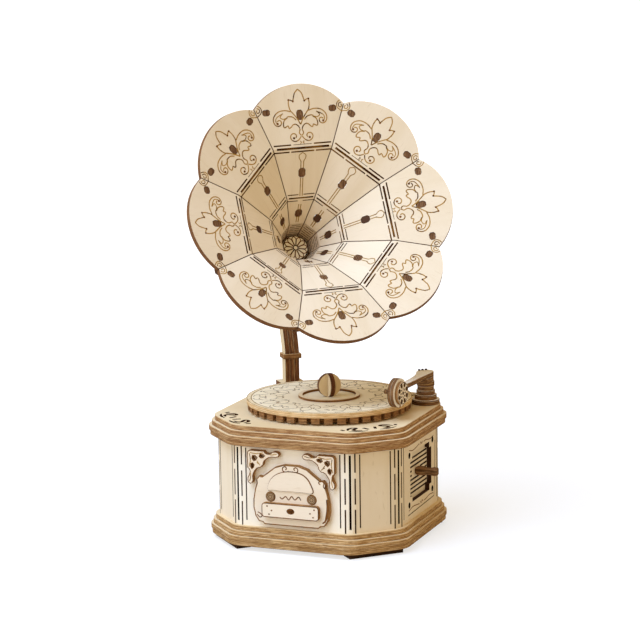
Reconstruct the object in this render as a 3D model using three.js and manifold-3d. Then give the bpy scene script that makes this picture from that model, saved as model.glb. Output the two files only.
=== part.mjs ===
// A plywood model gramophone on an eight-sided case: horn, turntable, tonearm and winding key.
// Millimetres, +Z up, +X to the right of the front face, -Y towards the front, Z = 0 under the feet.
// The sizes below are measured from the vertical axis of the case; the last lines move the whole model
// so that the origin lies under its middle.
import * as THREE from "three";
import { mergeVertices } from "three/addons/utils/BufferGeometryUtils.js";
import Module from "manifold-3d";

const wasm = await Module();
wasm.setup();

// Driving dimensions
const ply = 2;
const runGap = 0.05; // radial clearance of a round piece that turns, and of a glued peg
const glueGap = 0.3; // clearance between pieces that rest on each other in a turned frame
const turn = Math.PI * 2;
const eighth = turn / 8;

// Case
const feetHeight = 2;
const wallHeight = 33.5;
const tableRadius = 34.2; // the case is as wide as its turntable asks
const deckMargin = 7.1; // from the turntable's edge to a straight side of the upper plate
const plateHalf = tableRadius + deckMargin;
const plateLeg = 16.2; // leg of its 45 degree corner
const legGrowth = 2 - Math.SQRT2;
const cornerRound = 10; // radius to which the plates and the wall bend at each corner
const cornerSteps = 5;
const topSteps = { topPlate1: 0, topPlate2: 1.1, topPlate3: 2.3, topPlate4: 1.8 };
const bottomSteps = { bottomPlate1: 0.3, bottomPlate2: 1.3, bottomPlate3: 2.2, bottomPlate4: 1.8 };
const wallInset = 1.2;
const wallHalf = plateHalf - wallInset;
const footLength = 23.5;
const footDepth = 6;
const footInset = 2.3;
const floorTop = feetHeight + 4 * ply;
const wallTop = floorTop + wallHeight;
const deck = wallTop + 4 * ply;

// Window in the right side and the slatted panel behind it
const windowHalf = 13.1;
const windowMiddle = 0.7; // towards the back of the key's shaft
const windowLow = 17.3;
const windowHigh = 37.8;
const windowStep = 2.5;
const slatPanelHalf = 17;
const slatPanelLow = 12;
const slatPanelHigh = 42;
const slatHalf = 12.9;
const slatHeight = 0.8;
const slatPitch = 1.81;
const slatCount = 9;
const slatMiddle = 27;
const slatBoss = { across: 5, high: 2 }; // left whole around the key's shaft

// Arched plate on the front
const archHalf = 16.5;
const archLow = 11.7;
const archHigh = 36.9;
const archShares = [
  [0.19, 1], [0.42, 0.95], [0.62, 0.85], [0.76, 0.78], [0.84, 0.79], [0.91, 0.73],
  [0.9, 0.67], [0.95, 0.57], [0.995, 0.41], [1, 0.27], [0.95, 0.13], [0.86, 0.045], [0.76, 0.035], [0.7, 0],
];
const rosetteRadius = 1.65;
const rosetteAcross = 8.9;
const rosetteProud = 0.4;
const plaqueLow = 15.3;
const plaqueHigh = 21.2;
const plaqueHalf = 12.3;
const plaqueRound = 1.3;
const plaqueOff = 0.2; // the plaque's middle stands this far to the right
const rosetteGap = 0.55; // between the plaque's top and the pegs
const rosetteHeight = plaqueHigh + rosetteGap + rosetteRadius;

// Pierced bracket in each upper corner of the front, from its corner in and down.
// The second half of its outline is the first with both numbers swapped.
const bracketSide = 18.9;
const bracketTop = 42;
const bracketSpan = 14;
const bracketShares = [
  [0.03, 0.03], [0, 0.09], [0, 0.52], [0.055, 0.565], [0.08, 0.63], [0.057, 0.73], [0.008, 0.81], [0, 0.89],
  [0.02, 0.96], [0.085, 1], [0.15, 0.97], [0.18, 0.89], [0.17, 0.77], [0.19, 0.685], [0.235, 0.61],
  [0.29, 0.54], [0.36, 0.505], [0.42, 0.5], [0.455, 0.455],
];
const bracketHoleShares = [
  [[0.11, 0.41], [0.17, 0.38], [0.21, 0.43], [0.19, 0.5], [0.14, 0.55], [0.12, 0.5]],
  [[0.17, 0.17], [0.24, 0.16], [0.31, 0.21], [0.27, 0.27], [0.21, 0.31], [0.16, 0.24]],
];

// Turntable
const tableX = 0.4;
const tableY = 0;
const ringInset = 0.4;
const ringRadius = tableRadius - ringInset;
const ringTeeth = 40;
const ringGap = 1.9;
const ringDepth = 3.2;
const ringPly = 2.4;
const ringWeb = 4.6;
const ringInner = ringRadius - ringDepth - ringWeb;
const ringPhase = -10.8; // degrees
const tableLift = 0.8;
const ringLow = deck + tableLift;
const tableTop = ringLow + ringPly + ply;
const labelRadius = 12.8;
const labelInner = 11.1;
const labelPly = 1;
const knobRadius = 4.9;
const knobTurn = -48; // degrees
const knobFlatShare = 0.97;
const spindleRadius = 1.6;
const spindleFoot = 0.2;

// Wooden right-angle drive
const keyY = 0;
const keyZ = 28.1;
const pinionTeeth = 8;
const crownTeeth = 24;
const pinionX = 21;
const pinionRoot = 4;
const pinionTip = 7.6;
const toothWidth = 1.5;
const crownRoot = 17;
const crownTip = 23.2;
const crownLift = 6.15; // underside of the crown wheel above the key's axis
const shaftRadius = 1.2;
const shaftInner = 10.5;
const bracketX = 13;
const bracketHalf = 6;
const bracketRise = 4;
const bearingRadius = 6;
const bearingHeight = 4;

// Winding key: two crossed plates, given by half-width along their length
const keySunk = 1.85; // the key's inner end, behind the outside of the wall
const keyInner = wallHalf - keySunk;
const keyLength = 9.4;
const keyBulb = 1.8;
const keyShares = [
  [0, 0.68], [0.07, 0.94], [0.2, 1], [0.34, 0.97], [0.45, 0.77], [0.58, 0.7], [0.69, 0.74],
  [0.76, 0.88], [0.9, 0.92], [0.97, 0.86], [1, 0.68],
];

// Tonearm
const armBaseRadius = 5.8;
const armGap = 1; // between the turntable and the tonearm's base
const armBearing = 32.45; // degrees around the turntable, from the right
const armDistance = tableRadius + armBaseRadius + armGap;
const armX = tableX + armDistance * Math.cos((armBearing * turn) / 360);
const armY = tableY + armDistance * Math.sin((armBearing * turn) / 360);
const armStepRadius = 4.6;
const armRings = [3.9, 3.45, 3.7]; // radii of the pillar, upwards
const armRingHeight = 1.87;
const armHead = 3.4; // half-width at the pillar
const armHeadSteps = 14;
const armReach = 28.6;
const armLowReach = 6.8;
// Half-widths along the arm as shares of the head's: distance over reach, left, right
const armShares = [
  [0.06, 0.98, 0.97], [0.13, 0.86, 0.93], [0.19, 0.68, 0.88], [0.26, 0.52, 0.83],
  [0.36, 0.4, 0.74], [0.5, 0.34, 0.62], [1, 0.32, 0.35],
];
const pinRadius = 1;
const soundRadius = 5.9;
const soundPly = 1.4;
const soundGap = 0.4; // between the arm's end and the sound box
const soundOff = 0.5; // how far the box's middle stands to the right of the arm
const soundTurn = -7; // degrees by which the box faces forwards
const soundDrop = 1.15; // its middle below the middle of the upper arm plate
const soundX = armX + soundOff;
const soundY = armY - armReach - soundRadius - soundGap;
const soundZ = deck + 2 * ply + armRings.length * armRingHeight + 1.5 * ply - soundDrop;
const grilleRadius = 4.7;
const grilleHoles = 8;
const grilleHoleRadius = 0.62;
const grilleHoleCircle = 3.35;
const hubRadius = 0.95;
const hubReach = 4;
const needleHalf = 0.6;
const needleDrop = 0.15;
const needleHeight = 1.6;

// Horn: the centre line of one gore, given as distance from the axis and distance along it
const hornX = 0.24;
const hornY = -5.7;
const hornZ = 133.9;
const hornTurn = 39.6; // degrees from the front towards the right
const hornRise = 28.4;
const hornRoll = 2.1;
const middle = Math.cos(eighth / 2); // from a corner of the octagon to the middle of its side
const notchRadius = 50.9;
const bend2Radius = 33.65;
const bend2Depth = 5.73;
const bend3Radius = 16.1;
const bend3Depth = 20.8;
const mouthRadius = 8.63;
const mouthDepth = 32.9;
const neckRadius = 6.6;
const neckDepth = 42.5;
const petalTip = 56;
const notch = { r: notchRadius * middle, y: 0 };
const bend2 = { r: bend2Radius * middle, y: -bend2Depth };
const bend3 = { r: bend3Radius * middle, y: -bend3Depth };
const mouth = { r: mouthRadius * middle, y: -mouthDepth };
const neckEnd = { r: neckRadius * middle, y: -neckDepth };
const gorePly = 2;
const seamGap = 0.3;
const slotSoft = 12; // points of a rounded slot
const petalSlot = { at: 13.6, across: 3, along: 4.4 };
const cornerSlot = { at: 15.4, off: 14.4, across: 3.4, along: 2.8 };
const bellSlot = { at: 11.2, across: 3.2, along: 4.4 };
const throatSlot = { at: 5.7, across: 3.2, along: 4.4 };
const tenonGap = 0.12;
const tenonSunk = 0.25;
const spineDepth = 4;
const spineTop = 16.2;
const tieLow = 13.8;
const hubPly = 2;
const hubRadiusHorn = 12.4;
const rosetteDisc = 5.6;

// Laminated arm that carries the horn
const postFootHalf = 5.2;
const postGap = 5.9;
const postReach = tableRadius + postFootHalf + postGap; // from the middle of the horn's rim, level
const postDepth = 4.6;
const postEnd = 3; // length that runs straight into the horn's hub
const postFootHeight = 4;
const postPlateGap = 0.1;
const postLine = [
  [0, 55.5], [0, 60], [0, 68.5], [-0.9, 72], [-3.2, 78], [-7, 87], [-9.9, 94], [-10.8, 100],
  [-9.9, 104.4], [-7.2, 107.7], [-3.2, 109.7],
];
const collarProud = 0.8;
const collarLow = 65.8;

const birch = new THREE.MeshStandardMaterial({ color: 0xe6d3b1, roughness: 0.75 });
const paleBirch = new THREE.MeshStandardMaterial({ color: 0xefe3cb, roughness: 0.75 });
const burntBirch = new THREE.MeshStandardMaterial({ color: 0x6b4424, roughness: 0.8 });

const part = new THREE.Group();
part.name = "plywood_gramophone";
const model = new THREE.Group(); // all pieces, measured from the vertical axis of the case
part.add(model);

const radians = (degrees) => (degrees * turn) / 360;

function solidOf(geometry) {
  const flat = geometry.index ? geometry.toNonIndexed() : geometry.clone();
  flat.deleteAttribute("normal");
  flat.deleteAttribute("uv");
  const merged = mergeVertices(flat, 1e-4);
  const triVerts = new Uint32Array(merged.index.array);
  const make = () =>
    new wasm.Manifold(
      new wasm.Mesh({ numProp: 3, vertProperties: merged.attributes.position.array, triVerts }),
    );
  let made = make();
  if (made.volume() < 0) {
    for (let i = 0; i < triVerts.length; i += 3)
      [triVerts[i + 1], triVerts[i + 2]] = [triVerts[i + 2], triVerts[i + 1]];
    made = make();
  }
  return made;
}

function geometryOf(solid) {
  const mesh = solid.getMesh();
  const points = new Float32Array(mesh.numVert * 3);
  for (let i = 0; i < mesh.numVert; i += 1)
    points.set(mesh.vertProperties.subarray(i * mesh.numProp, i * mesh.numProp + 3), i * 3);
  const geometry = new THREE.BufferGeometry();
  geometry.setAttribute("position", new THREE.BufferAttribute(points, 3));
  geometry.setIndex(new THREE.BufferAttribute(mesh.triVerts, 1));
  geometry.computeVertexNormals();
  return geometry;
}

function add(name, solid, material = birch, parent = model) {
  const mesh = new THREE.Mesh(geometryOf(solid), material);
  mesh.name = name;
  parent.add(mesh);
}

const shapeOf = (points) => new THREE.Shape(points.map(([x, y]) => new THREE.Vector2(x, y)));

function slab(points, height, holes = []) {
  const shape = shapeOf(points);
  holes.forEach((hole) => shape.holes.push(shapeOf(hole)));
  return solidOf(new THREE.ExtrudeGeometry(shape, { depth: height, bevelEnabled: false }));
}

function ringPoints(radius, count, x = 0, y = 0) {
  return Array.from({ length: count }, (_, i) => {
    const angle = ((i + 0.5) * turn) / count;
    return [x + radius * Math.cos(angle), y + radius * Math.sin(angle)];
  });
}

const rod = (radius, height, count = 32) => slab(ringPoints(radius, count), height);
const tube = (radius, inner, height, count = 48) =>
  slab(ringPoints(radius, count), height, [ringPoints(inner, count)]);
const box = (x, y, z) => solidOf(new THREE.BoxGeometry(x, y, z));
const rectangle = (half, low, high) => [[half, low], [half, high], [-half, high], [-half, low]];

function octagon(half) {
  const leg = plateLeg + legGrowth * (half - plateHalf);
  const short = half - leg;
  return [
    [half, -short], [half, short], [short, half], [-short, half],
    [-half, short], [-half, -short], [-short, -half], [short, -half],
  ];
}

// The octagon with each corner turned into an arc that is tangent to both sides.
function plateOutline(half, radius = cornerRound) {
  const corners = octagon(half);
  return corners.flatMap(([x, y], i) => {
    const before = corners[(i + 7) % 8];
    const facing = Math.atan2(y - before[1], x - before[0]) - turn / 4;
    const centre = [x, y].map((v, k) => {
      const normal = facing + eighth / 2;
      return v - (radius / Math.cos(eighth / 2)) * (k ? Math.sin(normal) : Math.cos(normal));
    });
    return Array.from({ length: cornerSteps + 1 }, (_, j) => {
      const angle = facing + (eighth * j) / cornerSteps;
      return [centre[0] + radius * Math.cos(angle), centre[1] + radius * Math.sin(angle)];
    });
  });
}

// A solid drawn in the XY plane and extruded along Z, stood up so that it is extruded along X
// (its x runs along Y and its y along Z), or along Y (its x runs along X and its y along Z).
const alongX = (solid) => solid.rotate([90, 0, 90]);
const alongY = (solid) => solid.rotate([90, 0, 0]);

function addTopPlates() {
  const spindleHole = ringPoints(spindleRadius + runGap, 32, tableX, tableY);
  const pinHole = ringPoints(pinRadius + runGap, 24, armX, armY);
  Object.entries(topSteps).forEach(([name, step], i) => {
    const plate = slab(plateOutline(plateHalf + step), ply, [spindleHole, pinHole]);
    add(name, plate.translate([0, 0, deck - (i + 1) * ply]));
  });
}

function windowOutline() {
  const w = windowHalf;
  const s = windowStep;
  const low = windowLow;
  const high = windowHigh;
  return [
    [w, low + s], [w, high - s], [w - s, high - s], [w - s, high], [s - w, high], [s - w, high - s],
    [-w, high - s], [-w, low + s], [s - w, low + s], [s - w, low], [w - s, low], [w - s, low + s],
  ];
}

function addWalls() {
  const inside = plateOutline(wallHalf - ply, cornerRound - ply);
  const ring = slab(plateOutline(wallHalf), wallHeight, [inside]).translate([0, 0, floorTop]);
  const opening = alongX(slab(windowOutline(), wallHalf)).translate([0, windowMiddle, 0]);
  const pegHole = (side) =>
    alongY(slab(ringPoints(rosetteRadius + runGap, 24, side * rosetteAcross, rosetteHeight), wallHalf + ply));
  const span = 4 * wallHalf;
  const cut = octagon(wallHalf)[1][1];
  const front = box(span, span, span).translate([0, cut - span / 2, wallHeight]);
  const pierced = ring.intersect(front).subtract(opening).subtract(pegHole(-1)).subtract(pegHole(1));
  add("wallFront", pierced, paleBirch);
  add("wallBack", ring.subtract(front), paleBirch);
}

function addBottomPlates() {
  Object.entries(bottomSteps).forEach(([name, step], i) =>
    add(name, slab(plateOutline(plateHalf + step), ply).translate([0, 0, floorTop - (i + 1) * ply])));
}

function addFeet() {
  const half = plateHalf + bottomSteps.bottomPlate4;
  const short = octagon(half)[1][1];
  const reach = (half + short) / Math.SQRT2 - footInset - footDepth / 2;
  ["footFrontRight", "footBackRight", "footBackLeft", "footFrontLeft"].forEach((name, i) => {
    const foot = box(footDepth, footLength, feetHeight).translate([reach, 0, feetHeight / 2]);
    add(name, foot.rotate([0, 0, 90 * i - 45]), burntBirch);
  });
}

function addFrontPlate() {
  const height = archHigh - archLow;
  const right = archShares.map(([u, v]) => [u * archHalf, archLow + v * height]);
  const left = right.map(([x, z]) => [-x, z]).reverse();
  const round = (radius, side) => ringPoints(radius, 24, side * rosetteAcross, rosetteHeight);
  const holes = [-1, 1].map((side) => round(rosetteRadius + runGap, side));
  const plate = alongY(slab([...right, ...left], ply, holes)).translate([0, -wallHalf, 0]);
  add("frontArchPlate", plate, paleBirch);
  [["frontRosetteLeft", -1], ["frontRosetteRight", 1]].forEach(([name, side]) => {
    const peg = alongY(slab(round(rosetteRadius, side), 2 * ply + rosetteProud));
    add(name, peg.translate([0, ply - wallHalf, 0]), burntBirch);
  });
}

function addPlaque() {
  const arc = Array.from({ length: cornerSteps + 1 }, (_, i) => (i / cornerSteps) * (turn / 4));
  const middleZ = (plaqueLow + plaqueHigh) / 2;
  const wide = plaqueHalf - plaqueRound;
  const tall = (plaqueHigh - plaqueLow) / 2 - plaqueRound;
  const outline = [[1, 1], [-1, 1], [-1, -1], [1, -1]].flatMap(([sx, sz], quarter) =>
    arc.map((angle) => [
      sx * wide + plaqueRound * Math.cos(angle + (quarter * turn) / 4) + plaqueOff,
      middleZ + sz * tall + plaqueRound * Math.sin(angle + (quarter * turn) / 4)]));
  add("frontPlaque", alongY(slab(outline, ply)).translate([0, -wallHalf - ply, 0]), paleBirch);
}

function addBrackets() {
  const swapped = (points) => points.map(([u, v]) => [v, u]).reverse();
  const outline = [...bracketShares, ...swapped(bracketShares.slice(1, -1))];
  const holes = [...bracketHoleShares, swapped(bracketHoleShares[0])];
  [["cornerBracketLeft", -1], ["cornerBracketRight", 1]].forEach(([name, side]) => {
    const place = (points) => points.map(([u, v]) => [
      side * (bracketSide - u * bracketSpan), bracketTop - v * bracketSpan]);
    const pierced = slab(place(outline), ply, holes.map(place));
    add(name, alongY(pierced).translate([0, -wallHalf, 0]), paleBirch);
  });
}

function addSlatPanel() {
  const edge = slatPanelHalf;
  const outline = rectangle(edge, slatPanelLow, slatPanelHigh);
  const firstSlat = slatMiddle - (slatPitch * (slatCount - 1)) / 2;
  let panel = slab(outline, ply, [ringPoints(shaftRadius + runGap, 24, keyY, keyZ)]);
  for (let i = 0; i < slatCount; i += 1) {
    const z = firstSlat + i * slatPitch;
    const inner = Math.abs(z - keyZ) < slatBoss.high ? slatBoss.across : 0;
    const ends = [windowMiddle - slatHalf, windowMiddle + slatHalf];
    const cuts = inner ? [[ends[0], keyY - inner], [keyY + inner, ends[1]]] : [ends];
    cuts.forEach(([from, to]) => {
      panel = panel.subtract(box(to - from, slatHeight, 4 * ply).translate([(from + to) / 2, z, 0]));
    });
  }
  add("slatPanel", alongX(panel).translate([wallHalf - 2 * ply, 0, 0]), paleBirch);
}

function toothedRing() {
  const points = [];
  const step = turn / ringTeeth;
  const root = ringRadius - ringDepth;
  for (let i = 0; i < ringTeeth; i += 1) {
    const start = radians(ringPhase) + i * step;
    const side = ringGap / 2;
    [
      [ringRadius, side / ringRadius], [ringRadius, step / 2], [ringRadius, step - side / ringRadius],
      [root, step - side / root], [root, step + side / root],
    ].forEach(([radius, past]) => {
      points.push([radius * Math.cos(start + past), radius * Math.sin(start + past)]);
    });
  }
  return slab(points, ringPly, [ringPoints(ringInner, 64)]);
}

function addTurntable() {
  const group = new THREE.Group();
  group.position.set(tableX, tableY, 0);
  model.add(group);
  const bore = spindleRadius + runGap;
  add("turntableRing", toothedRing().translate([0, 0, ringLow]), birch, group);
  add("turntableDisc", tube(tableRadius, bore, ply, 120).translate([0, 0, tableTop - ply]), paleBirch, group);
  add("labelRing", tube(labelRadius, labelInner, labelPly, 72).translate([0, 0, tableTop]), birch, group);
  addKnob(group);
  const spindleLow = floorTop + spindleFoot;
  add("spindle", rod(spindleRadius, tableTop - spindleLow).translate([0, 0, spindleLow]), birch, group);
  addCrownWheel(group, bore);
  add("spindleBearing", tube(bearingRadius, bore, bearingHeight).translate([0, 0, floorTop]), birch, group);
}

// Two discs that stand on the turntable and pass through each other at a half-lap.
function addKnob(group) {
  const disc = alongX(rod(knobRadius, ply, 40)).translate([-ply / 2, 0, knobRadius * knobFlatShare]);
  const above = box(4 * knobRadius, 4 * knobRadius, 4 * knobRadius).translate([0, 0, 2 * knobRadius]);
  const flat = disc.intersect(above);
  const lap = ply + 2 * runGap;
  const centre = knobRadius * knobFlatShare;
  const upper = box(lap, lap, 2 * knobRadius).translate([0, 0, centre + knobRadius - runGap]);
  const lower = box(lap, lap, 2 * knobRadius).translate([0, 0, centre - knobRadius + runGap]);
  const place = (solid) => solid.rotate([0, 0, knobTurn]).translate([0, 0, tableTop]);
  add("knobDiscA", place(flat.subtract(upper)), birch, group);
  add("knobDiscB", place(flat.rotate([0, 0, 90]).subtract(lower)), burntBirch, group);
}

function addCrownWheel(group, bore) {
  let wheel = tube(crownRoot, bore, ply, 72);
  const offset = keyY - tableY;
  const first = Math.atan2(offset, pinionX - tableX) + turn / crownTeeth / 2;
  const length = crownTip - crownRoot + ply;
  for (let i = 0; i < crownTeeth; i += 1) {
    const tooth = box(length, toothWidth, ply).translate([crownTip - length / 2, 0, ply / 2]);
    wheel = wheel.add(tooth.rotate([0, 0, ((first + (i * turn) / crownTeeth) * 360) / turn]));
  }
  add("crownWheel", wheel.translate([0, 0, keyZ + crownLift]), birch, group);
}

function addKeyShaft() {
  const shaft = alongX(rod(shaftRadius, keyInner - shaftInner, 32));
  add("keyShaft", shaft.translate([shaftInner, keyY, keyZ]), birch);
  let wheel = tube(pinionRoot, shaftRadius + runGap, ply, 40);
  const length = pinionTip - pinionRoot + ply / 2;
  for (let i = 0; i < pinionTeeth; i += 1) {
    const tooth = box(length, toothWidth, ply).translate([pinionTip - length / 2, 0, ply / 2]);
    wheel = wheel.add(tooth.rotate([0, 0, (360 * i) / pinionTeeth]));
  }
  add("keyPinion", alongX(wheel).translate([pinionX - ply / 2, keyY, keyZ]), birch);
  const high = keyZ + bracketRise;
  const outline = rectangle(bracketHalf, floorTop, high);
  const bracket = slab(outline, ply, [ringPoints(shaftRadius + runGap, 24, keyY, keyZ)]);
  add("shaftBracket", alongX(bracket).translate([bracketX, 0, 0]), birch);
}

function addKey() {
  const upper = keyShares.map(([u, v]) => [u * keyLength, v * keyBulb]);
  const lower = upper.map(([x, z]) => [x, -z]).reverse();
  const plate = alongY(slab([...upper, ...lower], ply)).translate([0, ply / 2, 0]);
  const lap = ply + 2 * runGap;
  const half = keyLength / 2;
  const outer = box(keyLength, lap, lap).translate([half + keyLength / 2 - runGap, 0, 0]);
  const inner = box(keyLength, lap, lap).translate([half - keyLength / 2 + runGap, 0, 0]);
  const place = (solid) => solid.translate([keyInner, keyY, keyZ]);
  add("keyPlateA", place(plate.subtract(outer)), burntBirch);
  add("keyPlateB", place(plate.rotate([90, 0, 0]).subtract(inner)), burntBirch);
}

// Outline of an arm plate in the deck plane: a round head at the pillar, then the narrowing arm.
function armOutline(reach) {
  const head = Array.from({ length: armHeadSteps + 1 }, (_, i) => {
    const angle = (i / armHeadSteps) * (turn / 2);
    return [armHead * Math.cos(angle), armHead * Math.sin(angle)];
  });
  const kept = armShares.filter(([share]) => share * armReach <= reach);
  const left = kept.map(([share, half]) => [-half * armHead, -share * armReach]);
  const right = kept.map(([share, , half]) => [half * armHead, -share * armReach]);
  const [leftEnd, rightEnd] = [left, right].map((side) => side[side.length - 1][0]);
  const end = reach < armReach ? [[leftEnd, -reach], [rightEnd, -reach]] : [];
  return [...head, ...left, ...end, ...right.reverse()];
}

function addTonearm() {
  const group = new THREE.Group();
  group.position.set(armX, armY, 0);
  model.add(group);
  const bore = pinRadius + runGap;
  let z = deck;
  const stack = (name, solid, height, material) => {
    add(name, solid.translate([0, 0, z]), material, group);
    z += height;
  };
  stack("armBaseRing", tube(armBaseRadius, bore, ply), ply, birch);
  const pillar = armRings.reduce((below, radius, i) =>
    below.add(tube(radius, bore, armRingHeight).translate([0, 0, ply + i * armRingHeight])),
  tube(armStepRadius, bore, ply));
  stack("armPillar", pillar, ply + armRings.length * armRingHeight, birch);
  const pinTop = z - runGap;
  stack("armPlateLower", slab(armOutline(armLowReach), ply), ply, birch);
  stack("armPlateUpper", slab(armOutline(armReach), ply), ply, paleBirch);
  add("armPin", rod(pinRadius, pinTop - wallTop, 24).translate([0, 0, wallTop]), birch, group);
}

// The box is drawn about its own middle, its face towards +X, then turned and set at the arm's end.
function addSoundBox() {
  const group = new THREE.Group();
  group.position.set(soundX, soundY, soundZ);
  group.rotation.z = radians(soundTurn);
  model.add(group);
  const bore = hubRadius + runGap;
  const back = -1.5 * soundPly;
  const place = (solid, step) => alongX(solid).translate([back + step * soundPly, 0, 0]);
  const body = tube(soundRadius, bore, 2 * soundPly, 56);
  const needleMiddle = needleHeight / 2 - soundRadius - needleDrop;
  const needle = box(soundPly - 2 * runGap, 2 * needleHalf, needleHeight).translate([0, 0, needleMiddle]);
  const notchBox = box(soundPly + 2 * runGap, 2 * (needleHalf + runGap), needleHeight + runGap);
  add("soundBoxBody", place(body, 0).subtract(notchBox.translate([0, 0, needleMiddle])), birch, group);
  const holes = Array.from({ length: grilleHoles }, (_, i) => {
    const angle = ((i + 0.5) * turn) / grilleHoles;
    return ringPoints(grilleHoleRadius, 10,
      grilleHoleCircle * Math.cos(angle), grilleHoleCircle * Math.sin(angle));
  });
  const grille = slab(ringPoints(grilleRadius, 48), soundPly, holes);
  add("soundBoxGrille", place(grille, 2), paleBirch, group);
  add("needle", needle, burntBirch, group);
  const hub = alongX(rod(hubRadius, hubReach + 2 * soundPly, 24));
  add("soundBoxHub", hub.translate([back - hubReach, 0, 0]), burntBirch, group);
}

// Points of a line moved back from the visible face of the horn, mitred at its bends.
function movedBack(line, depth) {
  const normals = line.slice(1).map((b, i) => {
    const dr = b.r - line[i].r;
    const dy = b.y - line[i].y;
    const length = Math.hypot(dr, dy);
    return { r: -dy / length, y: dr / length };
  });
  return line.map((point, i) => {
    const a = normals[Math.max(i - 1, 0)];
    const b = normals[Math.min(i, normals.length - 1)];
    const sum = { r: a.r + b.r, y: a.y + b.y };
    const scale = depth / (sum.r * a.r + sum.y * a.y);
    return { r: point.r + sum.r * scale, y: point.y + sum.y * scale };
  });
}

function pointOn(a, b, distance) {
  const length = Math.hypot(b.r - a.r, b.y - a.y);
  const share = distance / length;
  return { r: a.r + (b.r - a.r) * share, y: a.y + (b.y - a.y) * share };
}

const pointLevel = (a, b, y) => ({ r: a.r + ((b.r - a.r) * (y - a.y)) / (b.y - a.y), y });

const beyond = pointOn(bend2, notch, (petalTip + 2 * gorePly - bend2.r) * 1.1);
const corner = ({ r, y }) => new THREE.Vector2(r / middle, y);

// An eight-sided shell whose section is the closed outline, corners between the gores.
function eightSided(outline) {
  const points = outline.map(corner);
  return solidOf(new THREE.LatheGeometry([...points, points[0].clone()], 8, eighth / 2, turn));
}

// Stands a solid drawn across (x) and along (y) a panel of the first gore on that panel, seen from the front.
function onPanel(solid, inner, outer) {
  const along = new THREE.Vector3(0, outer.y - inner.y, outer.r - inner.r).normalize();
  const across = new THREE.Vector3(1, 0, 0);
  const out = new THREE.Vector3().crossVectors(across, along);
  const m = new THREE.Matrix4().makeBasis(across, along, out).setPosition(0, inner.y, inner.r);
  return solid.transform(m.elements);
}

function slotOutline(across, along, off = 0, at = 0) {
  return Array.from({ length: slotSoft }, (_, i) => {
    const angle = ((i + 0.5) * turn) / slotSoft;
    const soften = (v) => Math.sign(v) * Math.sqrt(Math.abs(v));
    const stretch = Math.max(Math.abs(Math.cos(angle)), Math.abs(Math.sin(angle))) ** 0.35;
    return [
      off + (across / 2) * soften(Math.cos(angle)) * stretch,
      at + (along / 2) * soften(Math.sin(angle)) * stretch,
    ];
  });
}

const goreSlots = [
  [bend2, notch, petalSlot, 0], [bend2, notch, cornerSlot, -1], [bend2, notch, cornerSlot, 1],
  [bend3, bend2, bellSlot, 0], [mouth, bend3, throatSlot, 0],
];

// A plug that fills a slot from `deep` behind the visible face to `high` above it.
function slotPlug([inner, outer, slot, side], shrink, deep, high) {
  const off = side * (slot.off ?? 0);
  const outline = slotOutline(slot.across - 2 * shrink, slot.along - 2 * shrink, off, slot.at);
  return onPanel(slab(outline, deep + high).translate([0, 0, -high]), inner, outer);
}

function firstGore() {
  const line = [beyond, bend2, bend3, mouth, neckEnd];
  const back = movedBack(line, gorePly);
  const shell = eightSided([...line.slice(0, -1), ...back.slice(0, -1).reverse()]);
  const reach = 2 * petalTip;
  const start = seamGap / 2 / Math.sin(eighth / 2);
  const wedgePoints = [[0, start], [reach * Math.tan(eighth / 2), reach + start],
    [-reach * Math.tan(eighth / 2), reach + start]];
  const wedge = slab(wedgePoints, reach).rotate([90, 0, 0]).translate([0, reach / 2, 0]);
  const halfNotch = notch.r * Math.tan(eighth / 2);
  const rise = (petalTip - notch.r) / ((notch.r - bend2.r) / Math.hypot(notch.r - bend2.r, bend2.y));
  const arcRadius = (halfNotch ** 2 + rise ** 2) / (2 * rise);
  const arcAt = Math.hypot(notch.r - bend2.r, bend2.y) + rise - arcRadius;
  const dish = slab(ringPoints(arcRadius, 96, 0, arcAt), 2 * reach).translate([0, 0, -reach]);
  const panel = shell.intersect(wedge).intersect(onPanel(dish, bend2, notch).add(innerColumn()));
  return goreSlots.reduce(
    (gore, slot) => gore.subtract(slotPlug(slot, 0, 2 * gorePly, gorePly)), panel);
}

// Everything nearer the axis than the middle of the petals, which the arc doesn't trim.
function innerColumn() {
  const radius = (notch.r + bend2.r) / 2;
  return rod(radius, 4 * petalTip, 64).rotate([90, 0, 0]).translate([0, 2 * petalTip, 0]);
}

function ribCage() {
  const top = pointOn(bend2, notch, spineTop);
  const line = [top, bend2, bend3, mouth, neckEnd];
  const near = movedBack(line, gorePly + glueGap);
  const far = movedBack(line, gorePly + glueGap + spineDepth);
  const hubFront = neckEnd.y - glueGap;
  near[near.length - 1] = pointLevel(near[3], near[4], hubFront - hubPly / 2);
  far[far.length - 1] = pointLevel(far[3], far[4], hubFront - hubPly / 2);
  const outline = [...near, ...far.reverse()].map(({ r, y }) => [r, y]);
  const plate = slab(outline, ply).translate([0, 0, -ply / 2]);
  let spine = plate.rotate([0, -90, 0]);
  const tenonDepth = gorePly + glueGap + ply / 2;
  goreSlots.forEach((slot) => {
    spine = spine.add(slotPlug(slot, tenonGap, tenonDepth, -tenonSunk));
  });
  const tieLine = [pointOn(bend2, notch, spineTop), pointOn(bend2, notch, tieLow)];
  const tieFar = movedBack(tieLine, gorePly + glueGap + ply);
  const tie = eightSided([...movedBack(tieLine, gorePly + glueGap), ...tieFar.reverse()]);
  const hub = rod(hubRadiusHorn, hubPly, 48).rotate([90, 0, 0]).translate([0, hubFront, 0]);
  let cage = tie.add(hub);
  for (let i = 0; i < 8; i += 1) cage = cage.add(spine.rotate([0, 45 * i, 0]));
  return cage;
}

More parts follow.
